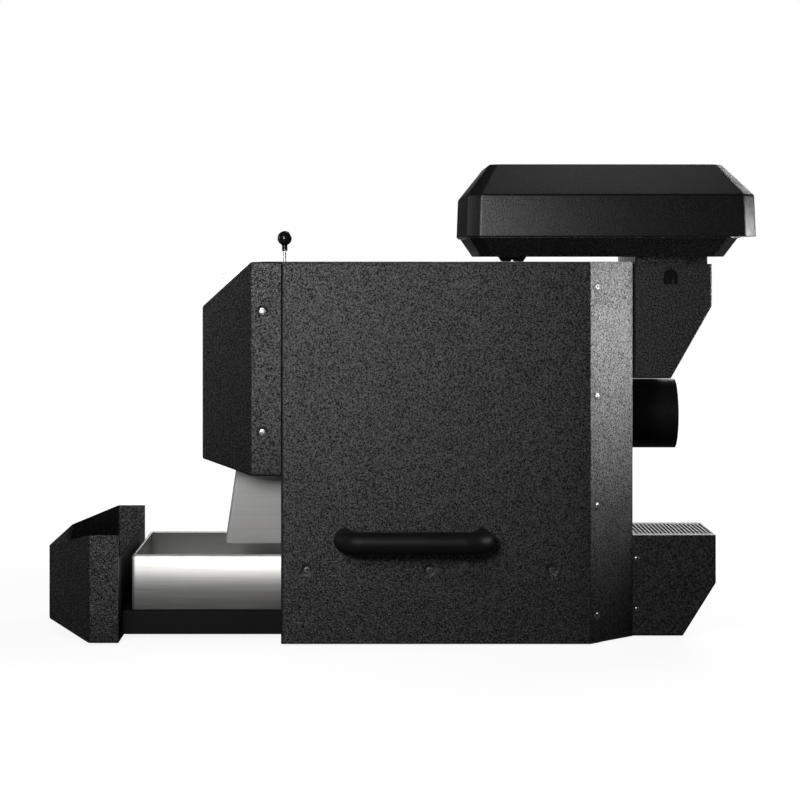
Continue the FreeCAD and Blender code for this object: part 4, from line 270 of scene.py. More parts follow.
def block(first, last):
    """Corners and faces of an upright block between two opposite corners."""
    x, y, z = zip(first, last)
    points = [(x[i], y[j], z[k]) for i in (0, 1) for j in (0, 1) for k in (0, 1)]
    faces = [(0, 1, 3, 2), (4, 6, 7, 5), (0, 4, 5, 1), (2, 3, 7, 6), (0, 2, 6, 4),
             (1, 5, 7, 3)]
    return points, faces


def mesh_from(name, parts):
    """One mesh object from parts of (points, faces), its doubles merged."""
    points = []
    faces = []
    start = 0
    for part_points, part_faces in parts:
        part_points = np.asarray(part_points).reshape(-1, 3)
        points.append(part_points)
        faces += (np.asarray(part_faces) + start).tolist()
        start += len(part_points)
    mesh = bpy.data.meshes.new(name)
    mesh.from_pydata(np.concatenate(points).tolist(), [], faces)
    shape = bmesh.new()
    shape.from_mesh(mesh)
    bmesh.ops.remove_doubles(shape, verts=shape.verts, dist=FLUSH)
    shape.to_mesh(mesh)
    shape.free()
    mesh.validate()
    made = bpy.data.objects.new(name, mesh)
    bpy.context.scene.collection.objects.link(made)
    return made


def outward(made):
    """Turn a closed mesh's faces outwards."""
    shape = bmesh.new()
    shape.from_mesh(made.data)
    bmesh.ops.recalc_face_normals(shape, faces=shape.faces)
    shape.to_mesh(made.data)
    shape.free()


def smooth_shaded(made, degrees=32):
    """Smooth shading that stays sharp across edges over an angle."""
    made.data.shade_smooth()
    shape = bmesh.new()
    shape.from_mesh(made.data)
    limit = math.radians(degrees)
    for edge in shape.edges:
        edge.smooth = len(edge.link_faces) == 2 and edge.calc_face_angle() < limit
    shape.to_mesh(made.data)
    shape.free()


def thickened(made, wall):
    """Give an open sheet its thickness, inwards from its outer face."""
    solid = made.modifiers.new("Sheet", "SOLIDIFY")
    solid.thickness = wall
    solid.offset = -1.0
    solid.use_even_offset = True
    solid.use_quality_normals = True


def dress(made, body, slot, material, *nodes):
    """Hang a piece on its body, with its finish and the CAD nodes that it stands for."""
    made.data.materials.append(bpy.data.materials[material])
    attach(made, body)
    if nodes:
        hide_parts(*nodes)


def blank_finish(name):
    """A material with one surface shader; returns the material, its tree and the shader."""
    made = bpy.data.materials.new(name)
    made.use_nodes = True
    tree = made.node_tree
    shader = tree.nodes["Principled BSDF"]
    return made, tree, shader


def coordinates(tree, stretch=(1, 1, 1)):
    """Object coordinates, stretched along the axes."""
    source = tree.nodes.new("ShaderNodeTexCoord")
    mapping = tree.nodes.new("ShaderNodeMapping")
    mapping.inputs["Scale"].default_value = stretch
    tree.links.new(source.outputs["Object"], mapping.inputs["Vector"])
    return mapping.outputs["Vector"]


def noise(tree, place, scale, detail=2.0, roughness=0.5):
    """Cloudy noise between 0 and 1."""
    node = tree.nodes.new("ShaderNodeTexNoise")
    node.inputs["Scale"].default_value = scale
    node.inputs["Detail"].default_value = detail
    node.inputs["Roughness"].default_value = roughness
    tree.links.new(place, node.inputs["Vector"])
    return node.outputs["Fac"]


def cells(tree, place, scale, feature="F1"):
    """Distances of a cell pattern."""
    node = tree.nodes.new("ShaderNodeTexVoronoi")
    node.feature = feature
    node.inputs["Scale"].default_value = scale
    tree.links.new(place, node.inputs["Vector"])
    return node.outputs["Distance"]


def spread(tree, value, low, high, to_low, to_high):
    """Map a value's range to another one."""
    node = tree.nodes.new("ShaderNodeMapRange")
    node.inputs["From Min"].default_value = low
    node.inputs["From Max"].default_value = high
    node.inputs["To Min"].default_value = to_low
    node.inputs["To Max"].default_value = to_high
    tree.links.new(value, node.inputs["Value"])
    return node.outputs["Result"]


def blended(tree, value, first, second):
    """Colour between two colours."""
    node = tree.nodes.new("ShaderNodeMix")
    node.data_type = "RGBA"
    node.inputs["A"].default_value = (*first, 1)
    node.inputs["B"].default_value = (*second, 1)
    tree.links.new(value, node.inputs["Factor"])
    return node.outputs["Result"]


def combined(tree, operation, first, second):
    """Two values through one arithmetic step; either may be a number."""
    node = tree.nodes.new("ShaderNodeMath")
    node.operation = operation
    for socket, value in zip(node.inputs, (first, second)):
        if isinstance(value, float):
            socket.default_value = value
        else:
            tree.links.new(value, socket)
    return node.outputs[0]


def relief(tree, shader, height, strength, distance):
    """Bump the surface by a height."""
    node = tree.nodes.new("ShaderNodeBump")
    node.inputs["Strength"].default_value = strength
    node.inputs["Distance"].default_value = distance
    tree.links.new(height, node.inputs["Height"])
    tree.links.new(node.outputs["Normal"], shader.inputs["Normal"])


def tinted(paint, factor):
    """A colour made lighter or darker."""
    return tuple(min(1.0, channel * factor) for channel in paint)


def coat_finish(name, paint, grain, strength, rough, sparkle, shine=0.5):
    """Powder coat: pebbled relief of two sizes, with uneven gloss and a faint cloudy tint."""
    made, tree, shader = blank_finish(name)
    place = coordinates(tree)
    pebbles = cells(tree, place, grain, "SMOOTH_F1")
    fine = noise(tree, place, grain * 2.2, 2.0, 0.6)
    height = combined(tree, "ADD", combined(tree, "MULTIPLY", pebbles, -0.8), fine)
    relief(tree, shader, height, strength, 0.00035)
    cloud = noise(tree, place, 9.0, 3.0)
    speckle = noise(tree, place, grain * 0.9, 1.0)
    both = combined(tree, "ADD", combined(tree, "MULTIPLY", speckle, 0.7),
                    combined(tree, "MULTIPLY", cloud, 0.3))
    shade = spread(tree, both, 0.3, 0.7, 0.0, 1.0)
    tree.links.new(blended(tree, shade, tinted(paint, 0.72), tinted(paint, 1.35)),
                   shader.inputs["Base Color"])
    tree.links.new(spread(tree, speckle, 0.3, 0.7, rough - 0.07, rough + 0.08),
                   shader.inputs["Roughness"])
    gloss = noise(tree, place, grain * 1.1, 2.0, 0.7)
    tree.links.new(spread(tree, gloss, 0.36, 0.64, shine - sparkle, shine + sparkle),
                   shader.inputs["Specular IOR Level"])
    return made


def brushed_finish(name, paint, stretch, rough):
    """Brushed metal: streaks drawn out along one axis in tint, gloss and relief."""
    made, tree, shader = blank_finish(name)
    shader.inputs["Metallic"].default_value = 1.0
    shader.inputs["Anisotropic"].default_value = 0.55
    streaks = noise(tree, coordinates(tree, stretch), 1.0, 4.0, 0.65)
    cloud = noise(tree, coordinates(tree), 14.0, 2.0)
    tone = combined(tree, "ADD", combined(tree, "MULTIPLY", streaks, 0.75),
                    combined(tree, "MULTIPLY", cloud, 0.25))
    shade = spread(tree, tone, 0.35, 0.65, 0.0, 1.0)
    tree.links.new(blended(tree, shade, tinted(paint, 0.86), tinted(paint, 1.1)),
                   shader.inputs["Base Color"])
    tree.links.new(spread(tree, streaks, 0.3, 0.7, rough - 0.06, rough + 0.1),
                   shader.inputs["Roughness"])
    relief(tree, shader, streaks, 0.12, 0.0002)
    return made


def cast_finish(name, paint, grain, strength, rough, metal, shine=0.5):
    """Plain worked surface: fine grain over a cloudy tint, matt or metallic."""
    made, tree, shader = blank_finish(name)
    shader.inputs["Metallic"].default_value = metal
    shader.inputs["Specular IOR Level"].default_value = shine
    place = coordinates(tree)
    fine = noise(tree, place, grain, 3.0, 0.6)
    cloud = noise(tree, place, 30.0, 2.0)
    tree.links.new(blended(tree, spread(tree, cloud, 0.35, 0.65, 0.0, 1.0),
                           tinted(paint, 0.85), tinted(paint, 1.15)),
                   shader.inputs["Base Color"])
    tree.links.new(spread(tree, fine, 0.3, 0.7, rough - 0.06, rough + 0.06),
                   shader.inputs["Roughness"])
    relief(tree, shader, fine, strength, 0.0003)
    return made


def heated_finish(name):
    """Steel that has been hot: straw and blue tints drift over a dull ground."""
    made, tree, shader = blank_finish(name)
    shader.inputs["Metallic"].default_value = 1.0
    drift = noise(tree, coordinates(tree, (1, 0.4, 0.4)), 16.0, 4.0)
    ramp = tree.nodes.new("ShaderNodeValToRGB")
    stops = ((0.3, (0.36, 0.34, 0.31)), (0.5, (0.40, 0.31, 0.20)), (0.7, (0.22, 0.23, 0.30)))
    while len(ramp.color_ramp.elements) < len(stops):
        ramp.color_ramp.elements.new(0.5)
    for element, (position, tint) in zip(ramp.color_ramp.elements, stops):
        element.position = position
        element.color = (*tint, 1)
    tree.links.new(drift, ramp.inputs["Fac"])
    tree.links.new(ramp.outputs["Color"], shader.inputs["Base Color"])
    streaks = noise(tree, coordinates(tree, (1, 30, 30)), 18.0, 3.0)
    tree.links.new(spread(tree, streaks, 0.3, 0.7, 0.32, 0.5), shader.inputs["Roughness"])
    relief(tree, shader, streaks, 0.1, 0.0003)
    return made


def glass_finish(name):
    """Dark touch glass with a trace of smears in its gloss."""
    made, tree, shader = blank_finish(name)
    shader.inputs["Base Color"].default_value = (0.006, 0.006, 0.008, 1)
    shader.inputs["Coat Weight"].default_value = 1.0
    shader.inputs["Coat Roughness"].default_value = 0.03
    smear = noise(tree, coordinates(tree, (20, 5, 12)), 6.0, 4.0)
    tree.links.new(spread(tree, smear, 0.4, 0.7, 0.05, 0.2), shader.inputs["Roughness"])
    return made


def quartz_finish(name):
    """Milky quartz: mostly clear, with a cloudy haze."""
    made, tree, shader = blank_finish(name)
    shader.inputs["Transmission Weight"].default_value = 0.6
    shader.inputs["IOR"].default_value = 1.46
    haze = noise(tree, coordinates(tree), 120.0, 3.0)
    tree.links.new(blended(tree, haze, (0.86, 0.82, 0.76), (0.66, 0.63, 0.6)),
                   shader.inputs["Base Color"])
    tree.links.new(spread(tree, haze, 0.3, 0.7, 0.2, 0.45), shader.inputs["Roughness"])
    return made


def board_finish(name):
    """Circuit board: lacquered green with tracks and pads from a cell pattern."""
    made, tree, shader = blank_finish(name)
    shader.inputs["Coat Weight"].default_value = 0.4
    tracks = cells(tree, coordinates(tree), 240.0, "DISTANCE_TO_EDGE")
    line = spread(tree, tracks, 0.03, 0.08, 0.0, 1.0)
    tree.links.new(blended(tree, line, (0.10, 0.24, 0.08), (0.012, 0.07, 0.025)),
                   shader.inputs["Base Color"])
    tree.links.new(spread(tree, tracks, 0.0, 0.3, 0.25, 0.45), shader.inputs["Roughness"])
    relief(tree, shader, line, 0.2, 0.0002)
    return made


class ROASTER_OT_finishes(bpy.types.Operator):
    """Make the finishes and lay them on the frame's own nodes"""
    bl_idname = "roaster.finishes"
    bl_label = "Finishes"

    def execute(self, context):
        paint = context.scene.roaster_paint
        textured, smooth, steel = tuple(paint.textured), tuple(paint.smooth), tuple(paint.steel)
        finishes = {
            "black_texture": coat_finish("Textured coat", textured, 620.0, 1.0, 0.36, 0.50),
            "black_calm": coat_finish("Calm coat", textured, 800.0, 0.4, 0.36, 0.12),
            "black_smooth": coat_finish("Smooth coat", smooth, 900.0, 0.25, 0.44, 0.05, 0.15),
            "steel_brushed": brushed_finish("Brushed steel", steel, (14, 1500, 2600), 0.48),
            "steel_plain": brushed_finish("Mill steel", tinted(steel, 0.8), (90, 700, 700), 0.42),
            "zinc": cast_finish("Zinc plate", (0.42, 0.43, 0.44), 260.0, 0.15, 0.40, 1.0),
            "bright": cast_finish("Bright steel", (0.66, 0.66, 0.67), 700.0, 0.04, 0.16, 1.0),
            "drum_steel": heated_finish("Heated steel"),
            "black_plastic": cast_finish("Moulded plastic", tuple(paint.plastic), 1500.0,
                                         0.25, 0.50, 0.0, 0.15),
            "gloss_black": cast_finish("Polished plastic", (0.009, 0.009, 0.010), 300.0,
                                       0.02, 0.14, 0.0),
            "rubber": cast_finish("Rubber", (0.016, 0.016, 0.016), 1100.0, 0.3, 0.75, 0.0),
            "panel_glass": glass_finish("Touch glass"),
            "quartz": quartz_finish("Quartz"),
            "board": board_finish("Circuit board"),
            "gear_metal": brushed_finish("Machined metal", (0.55, 0.55, 0.56), (900, 60, 60),
                                         0.34),
            "alu": cast_finish("Anodised metal", (0.60, 0.60, 0.61), 900.0, 0.06, 0.34, 1.0),
        }
        for part in frame["record"]["subparts"]:
            mesh = frame["nodes"][part["node"]].data
            mesh.materials.clear()
            mesh.materials.append(finishes[part["material_slot"]])
        cast_finish("Screw steel", (0.30, 0.30, 0.31), 900.0, 0.08, 0.28, 1.0)
        return {"FINISHED"}


def section_line(ends, stops):
    """Points along one side of a section, between its soft corners, through fixed stops."""
    first, last = ends
    inside = [stop for stop in stops if min(first, last) < stop < max(first, last)]
    return [first, *sorted(inside, reverse=last < first), last]


def hood_section(x, half, low, high, soft, steps, stops):
    """One upright section of the hood as a loop of points at x.

    The loop runs along the bottom, up the far side, back along the top and down the near
    side; each corner is the same soft curve as a fold.
    """
    bottom, upright, top = stops
    corners = ((half, low), (half, high), (-half, high), (-half, low))
    straight = (
        [(y, low) for y in section_line((-half + soft, half - soft), bottom)],
        [(half, z) for z in section_line((low + soft, high - soft), upright)],
        [(y, high) for y in section_line((half - soft, -half + soft), top)],
        [(-half, z) for z in section_line((high - soft, low + soft), upright)],
    )
    loop = []
    for i, line in enumerate(straight):
        loop += line
        loop += soft_corner(line[-1], corners[i], straight[(i + 1) % 4][0], steps)
    return np.array([(x, y, z) for y, z in loop])


def pressed(points, centres, radius, depth):
    """Press round dimples into upright sheet.

    A point at a distance d under the radius moves inwards by depth times
    (1 + cos(pi d / radius)) / 2, held flat in the middle third.
    """
    moved = points.copy()
    for centre in centres:
        centre = np.asarray(centre)
        flat = np.hypot(points[..., 0] - centre[0], points[..., 2] - centre[2])
        near = (flat < radius) & (np.abs(points[..., 1] - centre[1]) < radius)
        share = np.clip((flat - radius * 0.55) / (radius * 0.45), 0, 1)
        fall = depth * (1 + np.cos(math.pi * share)) / 2
        moved[..., 1] -= np.where(near, np.sign(centre[1]) * fall, 0)
    return moved


def screw_places():
    """Centres and directions of the screws, by kind, from the frame's own boxes."""
    sizes = bpy.context.scene.roaster_screws
    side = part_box("side_panel_left")
    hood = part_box("front_hood")[1].x - sizes.hood_inset
    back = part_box("rear_panel")[1].x
    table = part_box("rubber_feet")[1].z - sizes.foot_proud
    face, front = -side[0].y, side[0].x
    inset = sizes.pan_inset * math.sqrt(0.5)
    pan, sunk, small = [], [], []
    for turn in (-1, 1):
        wing, out = Vector((1, turn, 0)).normalized(), Vector((0, turn, 0))
        for i in range(4):
            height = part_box("top_cover")[1].z - sizes.pan_top - i * sizes.pan_pitch
            pan.append((Vector((back - sizes.corner_cut + inset, turn * (face - inset), height)),
                        wing))
        for i in range(3):
            place = (front + sizes.rail_start + i * sizes.rail_pitch, turn * face,
                     table + sizes.rail_height)
            sunk.append((Vector(place), out))
        for i in range(2):
            place = (hood, turn * face, table + sizes.hood_height + i * sizes.hood_pitch)
            sunk.append((Vector(place), out))
    for i in range(2):
        place = (back + sizes.cowl_inset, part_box("rear_cowl")[0].y,
                 table + sizes.cowl_height + i * sizes.cowl_pitch)
        small.append((Vector(place), Vector((0, -1, 0))))
    return {"pan": pan, "sunk": sunk, "small": small}


class ROASTER_OT_hood(bpy.types.Operator):
    """Fold the faceted hood, with its openings and the dimples round its screws"""
    bl_idname = "roaster.hood"
    bl_label = "Hood"

    def execute(self, context):
        sheet, hood = context.scene.roaster_sheet, context.scene.roaster_hood
        screws = context.scene.roaster_screws
        low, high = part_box("front_hood")
        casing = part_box("side_panel_left")[0].x
        panel_low, panel_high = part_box("control_panel")
        half = high.y
        front_half = half - hood.inset
        bend = high.x - hood.flange
        heads = [place for place, _ in screw_places()["sunk"] if place.x < casing]
        ring = np.linspace(-DIMPLE_RING, DIMPLE_RING, 27) * screws.dimple_radius
        upright = sorted({round(head.z + step, 6) for head in heads for step in ring})
        stops = ((-hood.chute_half, hood.chute_half), upright,
                 (-hood.mouth_half, -hood.notch_half, hood.notch_half, hood.mouth_half))
        notch = casing - hood.notch_depth
        mouth_back, mouth_front = casing - hood.mouth_back, casing - hood.mouth_front
        flange_x = sorted({notch, mouth_back, *(heads[0].x + step for step in ring)},
                          reverse=True)
        flange_x = [x for x in flange_x if bend + sheet.fold < x < high.x]

        def section(x, wide, bottom, top, soft):
            return hood_section(x, wide, bottom, top, soft, sheet.curve_steps, stops)

        straight = [section(x, half, low.z, high.z, sheet.fold)
                    for x in (high.x, *flange_x, bend)]
        top, bottom = high.z - hood.top_drop, low.z + hood.bottom_rise
        counts = len(straight[0])
        front_stops = (stops[0], [bottom + (top - bottom) * (z - low.z) / (high.z - low.z)
                                  for z in upright], stops[2])
        front = hood_section(low.x, front_half, bottom, top, sheet.fold, sheet.curve_steps,
                             front_stops)
        share = (bend - mouth_front) / (bend - low.x)
        middle = straight[-1] * (1 - share) + front * share
        for edge, value in zip((-hood.mouth_half, hood.mouth_half), (-1, 1)):
            near_top = np.isclose(front[:, 1], edge) & (front[:, 2] > top - FLUSH)
            middle[near_top, 1] = edge
        edge = front.copy()
        reach = np.array((front_half, (top - bottom) / 2)) - 2 * sheet.fold
        centre = np.array((0, (top + bottom) / 2))
        edge[:, 1:] = centre + np.clip(front[:, 1:] - centre, -reach, reach)
        inner = self.opening_row(front, panel_low, panel_high)
        rows = [*straight, middle, front, edge, inner]
        reaches = [0] * (len(straight) - 1) + [sheet.fold, 0, sheet.fold, 0, 0]
        points = softened(rows, reaches, sheet.curve_steps)
        points = pressed(points, heads, screws.dimple_radius, screws.dimple_depth)
        faces = grid_faces(len(points), counts, True)
        centres = points.reshape(-1, 3)[faces].mean(axis=1)
        faces = faces[~self.opened(centres, hood, casing, low, high)]
        made = mesh_from("hood_shell", [(points, faces[:, ::-1])])
        smooth_shaded(made)
        thickened(made, sheet.wall)
        dress(made, "housing", "black_texture", "Textured coat", "front_hood")
        return {"FINISHED"}

    def opening_row(self, front, low, high):
        """The front section drawn in to the control panel's edge, side by side.

        Each point keeps its share of the way along the section's height and width, and is
        pushed out to the nearest side of the panel's opening.
        """
        centre = (front.min(axis=0) + front.max(axis=0)) / 2
        extent = (front.max(axis=0) - front.min(axis=0)) / 2
        share = (front[:, 1:] - centre[1:]) / extent[1:]
        share /= np.abs(share).max(axis=1, keepdims=True)
        middle = np.array(((low.y + high.y) / 2, (low.z + high.z) / 2))
        reach = np.array(((high.y - low.y) / 2, (high.z - low.z) / 2)) + 0.0002
        row = front.copy()
        row[:, 1:] = middle + share * reach
        return row

    def opened(self, centres, hood, casing, low, high):
        """Which faces lie in an opening: hopper mouth, chute or the rod's notch."""
        x, y, z = centres.T
        middle = (low.z + high.z) / 2
        upper = (z > middle) & (x > low.x + 0.001)
        lower = (z < middle) & (x > low.x + 0.001)
        across = np.abs(y)
        on_top = upper & (z > high.z - 0.040) & (across < hood.mouth_half)
        mouth = on_top & (x < casing - hood.mouth_back) & (x > casing - hood.mouth_front)
        notch = on_top & (across < hood.notch_half) & (x > casing - hood.notch_depth)
        chute = (lower & (z < low.z + 0.0125) & (across < hood.chute_half)
                 & (x > casing - hood.chute_front))
        return mouth | notch | chute


class ROASTER_OT_side_panels(bpy.types.Operator):
    """Fold the side panels, rounded at the front, lapped behind, dimpled for their screws"""
    bl_idname = "roaster.side_panels"
    bl_label = "Side panels"

    def execute(self, context):
        sheet, screws = context.scene.roaster_sheet, context.scene.roaster_screws
        ring = np.linspace(-DIMPLE_RING, DIMPLE_RING, 25) * screws.dimple_radius
        sides = (("left", -1), ("right", 1))
        for side, turn in sides:
            node = f"side_panel_{side}"
            low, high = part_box(node)
            face, inner = (low.y, high.y) if turn < 0 else (high.y, low.y)
            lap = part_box("rear_panel")[0].x
            heads = [place for place, _ in screw_places()["sunk"]
                     if place.x > low.x and place.y * turn > 0]
            stops = sorted({round(head.x + step, 6) for head in heads for step in ring})
            plan = [(low.x, inner), (low.x, face), *((x, face) for x in stops), (lap, face),
                    (high.x, face - turn * (high.x - lap))]
            levels = sorted({low.z, high.z, *(heads[0].z + step for step in ring)})
            rows = [np.array([(x, y, z) for z in levels]) for x, y in plan]
            reaches = [0, sheet.fold, *([0] * len(stops)), sheet.fold / 2, 0]
            points = softened(rows, reaches, sheet.curve_steps)
            points = pressed(points, heads, screws.dimple_radius, screws.dimple_depth)
            faces = grid_faces(len(points), points.shape[1], False)
            made = mesh_from(f"side_shell_{side}", [(points, faces[:, ::-turn])])
            smooth_shaded(made)
            thickened(made, sheet.wall)
            dress(made, "housing", "black_texture", "Textured coat", node)
        return {"FINISHED"}


class ROASTER_OT_sight_plug(bpy.types.Operator):
    """Set the arched plug behind the rear duct's sight hole"""
    bl_idname = "roaster.sight_plug"
    bl_label = "Sight plug"

    def execute(self, context):
        sheet, plug = context.scene.roaster_sheet, context.scene.roaster_plug
        low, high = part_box("exhaust_duct")
        half = plug.width / 2
        middle = low.x + plug.setback
        spring = high.z - plug.drop - half
        angle = np.linspace(0, HALF_TURN, 17)
        outline = [(middle + half, spring - plug.height + half),
                   *zip(middle + half * np.cos(angle), spring + half * np.sin(angle)),
                   (middle - half, spring - plug.height + half)]
        face = low.y + sheet.wall + plug.gap
        rows = [[(x, y, z) for x, z in outline] for y in (face, face + plug.wall)]
        centre = [np.tile(((middle, y, spring),), (len(outline), 1))
                  for y in (face, face + plug.wall)]
        points = np.stack([centre[0], rows[0], rows[1], centre[1]])
        faces = grid_faces(4, len(outline), True)
        made = mesh_from("sight_plug", [(points, faces)])
        outward(made)
        dress(made, "housing", "black_smooth", "Smooth coat")
        return {"FINISHED"}


class ROASTER_OT_drawer_front(bpy.types.Operator):
    """Fold the drawer's open-topped front and the hems at its back"""
    bl_idname = "roaster.drawer_front"
    bl_label = "Drawer front"

    def execute(self, context):
        sheet, drawer = context.scene.roaster_sheet, context.scene.roaster_drawer
        low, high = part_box("drawer_front")
        steps = sheet.curve_steps
        bend = high.x - drawer.flange
        front_half = high.y - drawer.inset
        bottom, top = low.z + drawer.front_rise, high.z - drawer.front_drop
        back = self.section(high.x, high.y, low.z, high.z, sheet.fold, steps)
        fold = self.section(bend, high.y, low.z, high.z, sheet.fold, steps)
        nose = self.section(low.x, front_half, bottom, top, sheet.fold, steps)
        inner = self.section(low.x, front_half - 2 * sheet.fold, bottom + 2 * sheet.fold, top,
                             sheet.fold, steps)
        edge = inner.copy()
        edge[:, 1] = np.linspace(inner[0, 1], inner[-1, 1], len(edge))
        edge[:, 2] = top
        rows = [back, fold, nose, inner, edge]
        points = softened(rows, [0, sheet.fold, sheet.fold, 0, 0], steps)
        faces = grid_faces(len(points), points.shape[1], False)
        made = mesh_from("drawer_shell", [(points, faces[:, ::-1])])
        smooth_shaded(made)
        thickened(made, sheet.wall)
        dress(made, "drawer", "black_texture", "Textured coat", "drawer_front")
        hems = mesh_from("drawer_hems", [
            block((high.x - sheet.wall, turn * (high.y - sheet.wall), low.z + sheet.wall),
                  (high.x, turn * (high.y - sheet.wall - drawer.hem), high.z))
            for turn in (-1, 1)])
        outward(hems)
        dress(hems, "drawer", "black_texture", "Textured coat", "drawer_front")
        return {"FINISHED"}

    def section(self, x, half, low, high, soft, steps):
        """U-shaped section at x: down the near side, along the bottom, up the far side."""
        loop = [(-half, z) for z in np.linspace(high, low + soft, 5)]
        loop += soft_corner(loop[-1], (-half, low), (-half + soft, low), steps)
        loop += [(y, low) for y in np.linspace(-half + soft, half - soft, 9)]
        loop += soft_corner(loop[-1], (half, low), (half, low + soft), steps)
        loop += [(half, z) for z in np.linspace(low + soft, high, 5)]
        return np.array([(x, y, z) for y, z in loop])


def cut_corner_ring(front, rear, half, corner, z, soft, steps):
    """Level ring round a rectangle with cut corners, every corner softened."""
    plan = ((front + corner, -half), (rear - corner, -half), (rear, corner - half),
            (rear, half - corner), (rear - corner, half), (front + corner, half),
            (front, half - corner), (front, corner - half))
    outline = rounded_outline(plan, soft, steps)
    return np.column_stack((outline, np.full(len(outline), z)))


class ROASTER_OT_cover(bpy.types.Operator):
    """Fold the chaff box's cover: return, band, bevel and flat top"""
    bl_idname = "roaster.cover"
    bl_label = "Chaff cover"

    def execute(self, context):
        sheet, cover = context.scene.roaster_sheet, context.scene.roaster_cover
        low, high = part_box("chaff_cover")
        foot = high.z - cover.height
        soft, steps = sheet.fold, 3

        def ring(inset, side, corner, z):
            return cut_corner_ring(low.x + inset, high.x - inset, high.y - side, corner, z,
                                   soft, steps)

        rows = [
            ring(cover.lip, cover.lip, cover.corner, foot),
            ring(0, 0, cover.corner, foot),
            ring(cover.flare, cover.flare, cover.corner, foot + cover.band),
            ring(cover.top_inset, cover.side_inset, cover.top_corner, high.z),
            ring((high.x - low.x) / 2 - cover.crown, high.y - cover.crown, cover.crown_corner,
                 high.z),
        ]
        points = softened(rows, [0, soft / 2, soft, soft, 0], sheet.curve_steps)
        centre = points[-1].mean(axis=0, keepdims=True)
        points = np.concatenate((points, np.repeat(centre[None], points.shape[1], axis=1)))
        faces = grid_faces(len(points), points.shape[1], True)
        made = mesh_from("cover_shell", [(points, faces)])
        smooth_shaded(made)
        thickened(made, sheet.wall)
        dress(made, "chaff_lid", "black_texture", "Calm coat", "chaff_cover")
        axis = high.x - cover.knuckle_setback, low.z + cover.knuckle_radius
        tube = [(cover.knuckle_bore, -cover.knuckle_half),
                (cover.knuckle_radius, -cover.knuckle_half),
                (cover.knuckle_radius, cover.knuckle_half),
                (cover.knuckle_bore, cover.knuckle_half),
                (cover.knuckle_bore, -cover.knuckle_half)]
        leaf = block((axis[0] + cover.knuckle_bore, -cover.knuckle_half, axis[1]),
                     (axis[0] + cover.knuckle_radius, cover.knuckle_half, foot))
        knuckle = mesh_from("cover_knuckle", [
            revolved(tube, 32, (axis[0], 0, axis[1]), (0, 1, 0)), leaf])
        outward(knuckle)
        smooth_shaded(knuckle)
        dress(knuckle, "chaff_lid", "black_texture", "Calm coat", "chaff_cover")
        return {"FINISHED"}


def revolved(profile, turns, at, arrow):
    """Surface of revolution about a direction: radius and rise against the turn."""
    profile = np.asarray(profile, dtype=float)
    axis = np.array(arrow, dtype=float)
    side = np.cross(axis, (0, 0, 1)) if abs(axis[2]) < 0.9 else np.array((1.0, 0, 0))
    side /= np.linalg.norm(side)
    up = np.cross(axis, side)
    angle = np.linspace(0, 2 * math.pi, turns, endpoint=False)
    ring = np.cos(angle)[:, None] * side + np.sin(angle)[:, None] * up
    points = (np.asarray(at) + profile[:, 0, None, None] * ring
              + profile[:, 1, None, None] * axis)
    return points, grid_faces(len(profile), turns, True)


def screw_head(at, arrow, radius, height, shank, depth):
    """Crosshead screw: a dome with a tapered cross pressed in, a rim and a shank.

    The dome's rise at radius r is h (1 - (r/R)^2)^0.5 on a short rim; the cross takes away
    up to 0.6 h where either arm is nearer than its half width, fading to its ends.
    """
    inner = np.linspace(0, radius * 0.94, 15)
    profile = [(r, height * (0.45 + 0.55 * math.sqrt(1 - (r / radius)**2))) for r in inner]
    profile += [(radius, height * 0.42), (radius, 0.0), (shank, 0.0), (shank, -depth),
                (0.0, -depth - shank / 2)]
    points, faces = revolved(profile, 48, (0, 0, 0), (0, 0, 1))
    arm, reach = radius * 0.13, radius * 0.62
    x, y, z = np.moveaxis(points, -1, 0)
    near, far = np.minimum(np.abs(x), np.abs(y)), np.maximum(np.abs(x), np.abs(y))
    width = arm * (1.25 - 0.5 * far / reach)
    press = np.clip((width - near) / (0.35 * arm), 0, 1) * np.clip((reach - far) / arm, 0, 1)
    points[..., 2] = np.where(z > height * 0.4, z - 0.6 * height * press, z)
    axis = Vector(arrow)
    turn = np.array(Vector((0, 0, 1)).rotation_difference(axis).to_matrix())
    return points @ turn.T + np.asarray(at), faces


class ROASTER_OT_screws(bpy.types.Operator):
    """Drive the crosshead screws in their rows"""
    bl_idname = "roaster.screws"
    bl_label = "Screws"

    def execute(self, context):
        screws = context.scene.roaster_screws
        kinds = {"pan": (screws.pan_radius, screws.pan_height, 0.0),
                 "sunk": (screws.sunk_radius, screws.sunk_height, screws.dimple_depth),
                 "small": (screws.small_radius, screws.small_height, 0.0)}
        parts = []
        for kind, places in screw_places().items():
            radius, height, sink = kinds[kind]
            for place, arrow in places:
                parts.append(screw_head(place - sink * arrow, arrow, radius, height,
                                        screws.shank_radius, screws.shank_length - sink))
        made = mesh_from("screw_heads", parts)
        outward(made)
        smooth_shaded(made, 40)
        dress(made, "housing", "zinc", "Screw steel", "casing_screws")
        return {"FINISHED"}


